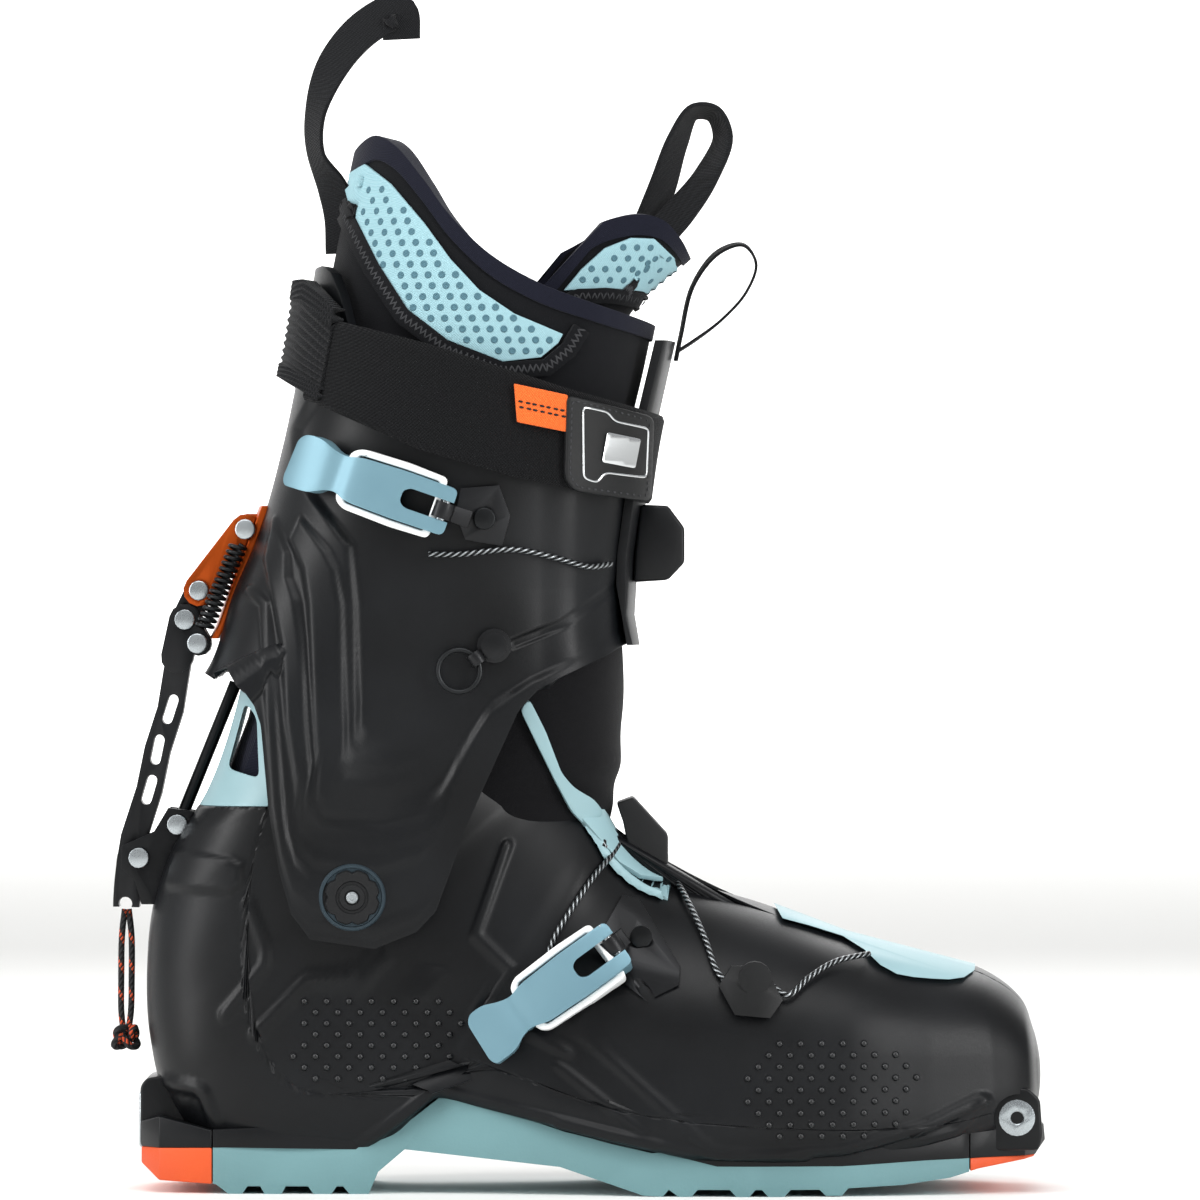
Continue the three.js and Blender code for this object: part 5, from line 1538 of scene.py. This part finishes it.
def make_buckle(name, fan, body, hinge, towards, length, rise):
    place = buckle_place(hinge, towards)
    lever_line = [(-2.6, 7.6), (length * 0.3, 7.8), (length * 0.6, 7.4), (length * 0.7, 5.6),
                  (length * 0.76, 6.0),
                  (length * 0.86, 8.6), (length + 0.6, 8.8), (length + 1.6, 6.5),
                  (length + 0.8, -6.4),
                  (length - 1.2, -8.6), (length * 0.88, -8.8), (length * 0.78, -6.6),
                  (length * 0.7, -5.8),
                  (length * 0.6, -7.2), (length * 0.3, -7.8), (-2.6, -7.6)]
    slot_line = [(-6, 3.2), (length * 0.24, 3.2), (length * 0.28, 1.8), (length * 0.28, -1.8),
                 (length * 0.24, -3.2), (-6, -3.2)]
    outline = [p for p in place(lever_line)]
    lever = plate(name + "_lever_forged", fan, rounded(outline, 2.2), 2.6 + rise, 5.6,
                  blue_anodised, pitch=1.2,
                  relief=lambda flat: bend_of(flat, hinge, towards, length), edge=0.0)
    bake(lever)
    cut(lever, rounded(place(slot_line), 1.6), -90, 0)
    soften(lever, 1.0, 3, 50)
    settle(lever, body, "lever_blue", name + "_lever")
    frame_line = [(1.5, 9.9), (length * 0.3, 10.4), (length * 0.62, 9.8), (length * 0.68, 7.6),
                  (length * 0.68, -7.6),
                  (length * 0.62, -9.8), (length * 0.3, -10.4), (1.5, -9.9)]
    hole = [(0.2, 8.1), (length * 0.3, 8.2), (length * 0.62, 7.8), (length * 0.64, 4),
            (length * 0.64, -4),
            (length * 0.62, -7.8), (length * 0.3, -8.2), (0.2, -8.1)]
    hole = [(max(a, 3.6), b) for a, b in hole]
    frame_piece = plate(name + "_frame_moulded", fan, rounded(place(frame_line), 2.0),
                        1.9 + rise * 0.8, 5.0,
                        white_plastic, holes=[rounded(place(hole), 1.2)], edge=0.7, segments=3)
    settle(frame_piece, body, "frame_white", name + "_frame")


def bend_of(flat, hinge, towards, length):
    """The lever dips a little at its neck and lifts at its finger end."""
    hinge, towards = np.array(hinge), np.array(towards)
    u = (towards - hinge) / np.linalg.norm(towards - hinge)
    run = (flat - hinge) @ u / length
    return -0.9 * np.exp(-((run - 0.72) / 0.06) ** 2) + 0.5 * step(run, 0.78, 1.0)


make_buckle("upper_buckle", cuff_fan, "upper_buckle", (53.6, 214.1), (5.6, 230.8), 49, 0.0)
make_buckle("lower_buckle", shell_fan, "lower_buckle", (106.3, 78.3), (62.5, 46.8), 50, 2.4)

# %% [markdown]
# ## Cables, guide and adjusters
# Steel cables tighten the instep and the cuff. They are thin twisted strands, drawn with the twist
# coarser than it is so that it shows, and painted in bright and dark stripes along the twist: painted
# glints on the strands and painted shade between them.


# %% Cables
def cable(name, fan, line, lift, radius, body, slot, *nodes):
    points = curve_through([(x, z, 0) for x, z in line], 50)[:, :2]
    path = [press(fan, lift + radius, x, z)[0] for x, z in points]
    piece = tube(name, curve_through(path, 90), radius, braided_cable_painted_glints, 10)
    return finish_piece(piece, body, slot, *nodes)


cable("cuff_cable_strand", cuff_fan, [(49, 200.5), (58, 200.4), (76, 201.9), (90, 199), (99, 196.6),
                                      (106, 197.5)],
      0.8, 0.9, "cuff", "steel", "cuff_cable")
cable("instep_cable_front_strand", shell_fan, [(126, 99), (131, 90), (135.5, 80), (139, 70.5),
                                               (143, 66)], 0.8, 0.9,
      "shell", "steel", "instep_cable_front")
cable("instep_cable_rear_strand", shell_fan, [(112, 116), (107, 107), (101, 100), (94, 90),
                                              (88, 80), (85, 71)],
      0.9, 0.9, "shell", "steel", "instep_cable_rear")
cable("toe_cable_strand", shell_fan, [(156, 66), (161, 63), (168, 68.5), (176, 73), (187, 75.2)],
      1.9, 0.9, "shell",
      "steel", "toe_cable")
refine("cable_guide", rubber_black, "shell_black", "shell", 0.9, 3)

# %% [markdown]
# ## Pivot
# The cuff turns on a large nut with a notched cap. It is turned about its own axis, so the profile
# is spun, and eight notches are cut round the cap.


# %% Pivot
def spun(name, profile, centre, finish, side=-1, sides=64, notch=None):
    """profile: radius and depth out from the boot's middle, in mm."""
    angles = np.linspace(0, 2 * math.pi, sides, endpoint=False)
    rows = []
    for radius, reach in profile:
        radii = np.full(sides, float(radius))
        if notch and radius >= notch[0]:
            radii = radii - notch[1] * np.clip(np.cos(angles * 8) * 2.2 - 1.0, 0, 1)
        rows.append(np.stack([centre[0] + radii * np.cos(angles), np.full(sides, side * reach),
                              centre[1] + radii * np.sin(angles)], -1))
    piece = grid_piece(name, np.array(rows), finish, ring=True)
    shape = bmesh.new()
    shape.from_mesh(piece.data)
    bmesh.ops.remove_doubles(shape, verts=shape.verts, dist=1e-6)
    bmesh.ops.holes_fill(shape, edges=shape.edges, sides=0)
    bmesh.ops.recalc_face_normals(shape, faces=shape.faces)
    shape.to_mesh(piece.data)
    shape.free()
    piece.data.set_sharp_from_angle(angle=math.radians(40))
    return piece


for side, side_name in ((-1, "lateral"), (1, "medial")):
    ring = spun("pivot_ring_" + side_name, [(0, 40), (6, 40), (6, 48.6), (10.3, 48.6), (10.5, 50.6),
                                            (10.1, 51.1),
                                             (9.3, 51.1), (9.1, 50.4), (0, 50.4)], PIVOT,
                                             ring_metal, side)
    finish_piece(ring, "shell", "steel", "pivot_" + side_name)
    cap = spun("pivot_nut_" + side_name, [(0, 48), (8.7, 48), (8.7, 51.6), (8.3, 52.3), (5.2, 52.3),
                                          (4.9, 51.8),
                                          (4.2, 51.8), (3.9, 52.2), (2.4, 52.2), (2.2, 51.7),
                                          (0, 51.7)], PIVOT,
               rubber_black, side, notch=(8.0, 0.9))
    finish_piece(cap, "shell", "shell_black")
    screw = spun("pivot_screw_" + side_name, [(0, 51), (1.8, 51), (1.8, 52.4), (1.4, 52.8),
                                              (0.9, 52.8), (0.8, 52.2),
                                              (0, 52.2)], PIVOT, zinc_steel, side)
    finish_piece(screw, "shell", "steel")

# %% [markdown]
# ## Spring, ring and pull loops
# The lever's spring is a real helix. The loops are webbing with a twist, sewn flat at both ends.

# %% Spring, ring, loops
def helix(start, end, radius, turns):
    start, end = np.array(start, float), np.array(end, float)
    axis = end - start
    length = np.linalg.norm(axis)
    axis /= length
    side = np.array([0.0, 1.0, 0.0])
    other = np.cross(axis, side)
    s = np.linspace(0, 1, int(turns * 20))
    angle = 2 * math.pi * turns * s
    return start + axis * (s * length)[:, None] + radius * (np.cos(angle)[:, None] * side
                                                            + np.sin(angle)[:, None] * other)


spring = tube("lever_spring_coil", helix((-11.6, -12.6, 203.8), (-22.6, -12.6, 177.2), 2.5, 15),
              0.62, dark_steel, 8)
finish_piece(spring, "lever_spring", "steel", "lever_spring")
print("springs and pivots done")

rear_loop = ribbon("rear_loop_webbing", [(21.0, -1.5, 296), (20.4, -2, 308), (18, -2, 316),
                                         (12.6, -1, 327),
                                          (12.2, 0, 340), (18, 0, 356), (28.5, 0, 368),
                                          (38.6, 0, 372.6),
                                          (39.6, 0, 364)],
                   [62, 60, 50, 24, 30, 58, 72, 74, 74], 12, 1.2, webbing_black)
settle(rear_loop, "cuff", "webbing", "rear_pull_loop")
front_loop = ribbon("front_loop_webbing", [(108.5, -6, 284), (117, -8, 296), (128, -6, 308),
                                           (137, -3, 320),
                                            (142.5, 0, 333), (139, 1.5, 341.6), (131.5, 1, 342),
                                            (126, 0, 332),
                                            (121.5, 0, 318), (117, 0, 306)],
                    [58, 56, 50, 36, 26, 20, 18, 30, 40, 44], 12.5, 1.3, webbing_black)
settle(front_loop, "cuff", "webbing", "front_pull_loop")
tape = ribbon("shin_tape_webbing", [(126.5, 0, 262), (128.2, 0, 270.5), (132, 0, 286),
                                    (140, 0, 296.5),
                                     (148, 0, 298.8), (152, 0, 293), (149, 0, 284), (141, 0, 275),
                                     (132, 0, 268.2),
                                     (127, 0, 265)],
              [10, 10, 12, 20, 10, 0, 0, 0, 5, 5], 4.0, 0.9, webbing_black)
settle(tape, "cuff", "webbing", "shin_tape_loop")

# %% [markdown]
# ## Pull cord
# A short doubled cord hangs from the lever's eye and ends in a knot. The length of each strand is
# worked out and printed.

# %% Pull cord
strands = []
for k, spread in enumerate((-1.5, 1.5)):
    line = [(-47.6 + spread * 0.4, 0.0, 88.2), (-47.6 + spread * 1.0, 0.0, 80.0),
            (-47.7 + spread * 1.1, 0.0, 66.0),
            (-47.8 + spread * 1.0, 0.0, 55.5), (-47.9 + spread * 0.5, 0.0, 49.5)]
    path = curve_through(line, 40)
    strand = tube("pull_cord_strand_%d" % (k + 1), path, 1.0, cord_flecked, 10)
    length = float(np.linalg.norm(np.diff(path, axis=0), axis=1).sum()) * MM
    strands.append((strand, path, length))
knot_path = [(-47.9 + 2.9 * math.cos(a) * (1 + 0.25 * math.sin(2.6 * a)), 1.5 * math.sin(1.7 * a),
              47.6 + 3.0 * math.sin(a * 1.31)) for a in np.linspace(0, 4.6 * math.pi, 160)]
knot = tube("pull_cord_knot", knot_path, 1.15, cord_flecked, 10)
finish_piece(knot, "walk_lever", "webbing")
for k, (strand, path, length) in enumerate(strands):
    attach(strand, "walk_lever")
    if k == 0:
        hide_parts("pull_cord")
print("cord", [round(s[2], 4) for s in strands])

# %% Plain inner parts
for node_name, finish in (("liner_foot", lining_navy), ("boot_board", rubber_black)):
    inner = bpy.data.objects[node_name]
    inner.data.materials.clear()
    inner.data.materials.append(finish)

# %% [markdown]
# ## Floor and world

# %% Floor and world
floor_mesh = bpy.data.meshes.new("floor")
floor_mesh.from_pydata([(-4, -3, 0), (4, -3, 0), (4, 4, 0), (-4, 4, 0)], [], [(0, 1, 2, 3)])
floor_mesh.materials.append(material("pale_floor", "#f4f4f2", 0.8))
link("floor", floor_mesh)
back_mesh = bpy.data.meshes.new("backdrop")
back_mesh.from_pydata([(-4, 4, 0), (4, 4, 0), (4, 4, 4), (-4, 4, 4)], [], [(0, 1, 2, 3)])
back_mesh.materials.append(material("white_backdrop", "#ffffff", 0.9, Emission_Color=(1, 1, 1, 1),
                                    Emission_Strength=1.0))
link("backdrop", back_mesh)
world = bpy.data.worlds.new("studio")
world.use_nodes = True
world.node_tree.nodes["Background"].inputs["Color"].default_value = linear("#ffffff")
world.node_tree.nodes["Background"].inputs["Strength"].default_value = 0.5
bpy.context.scene.world = world
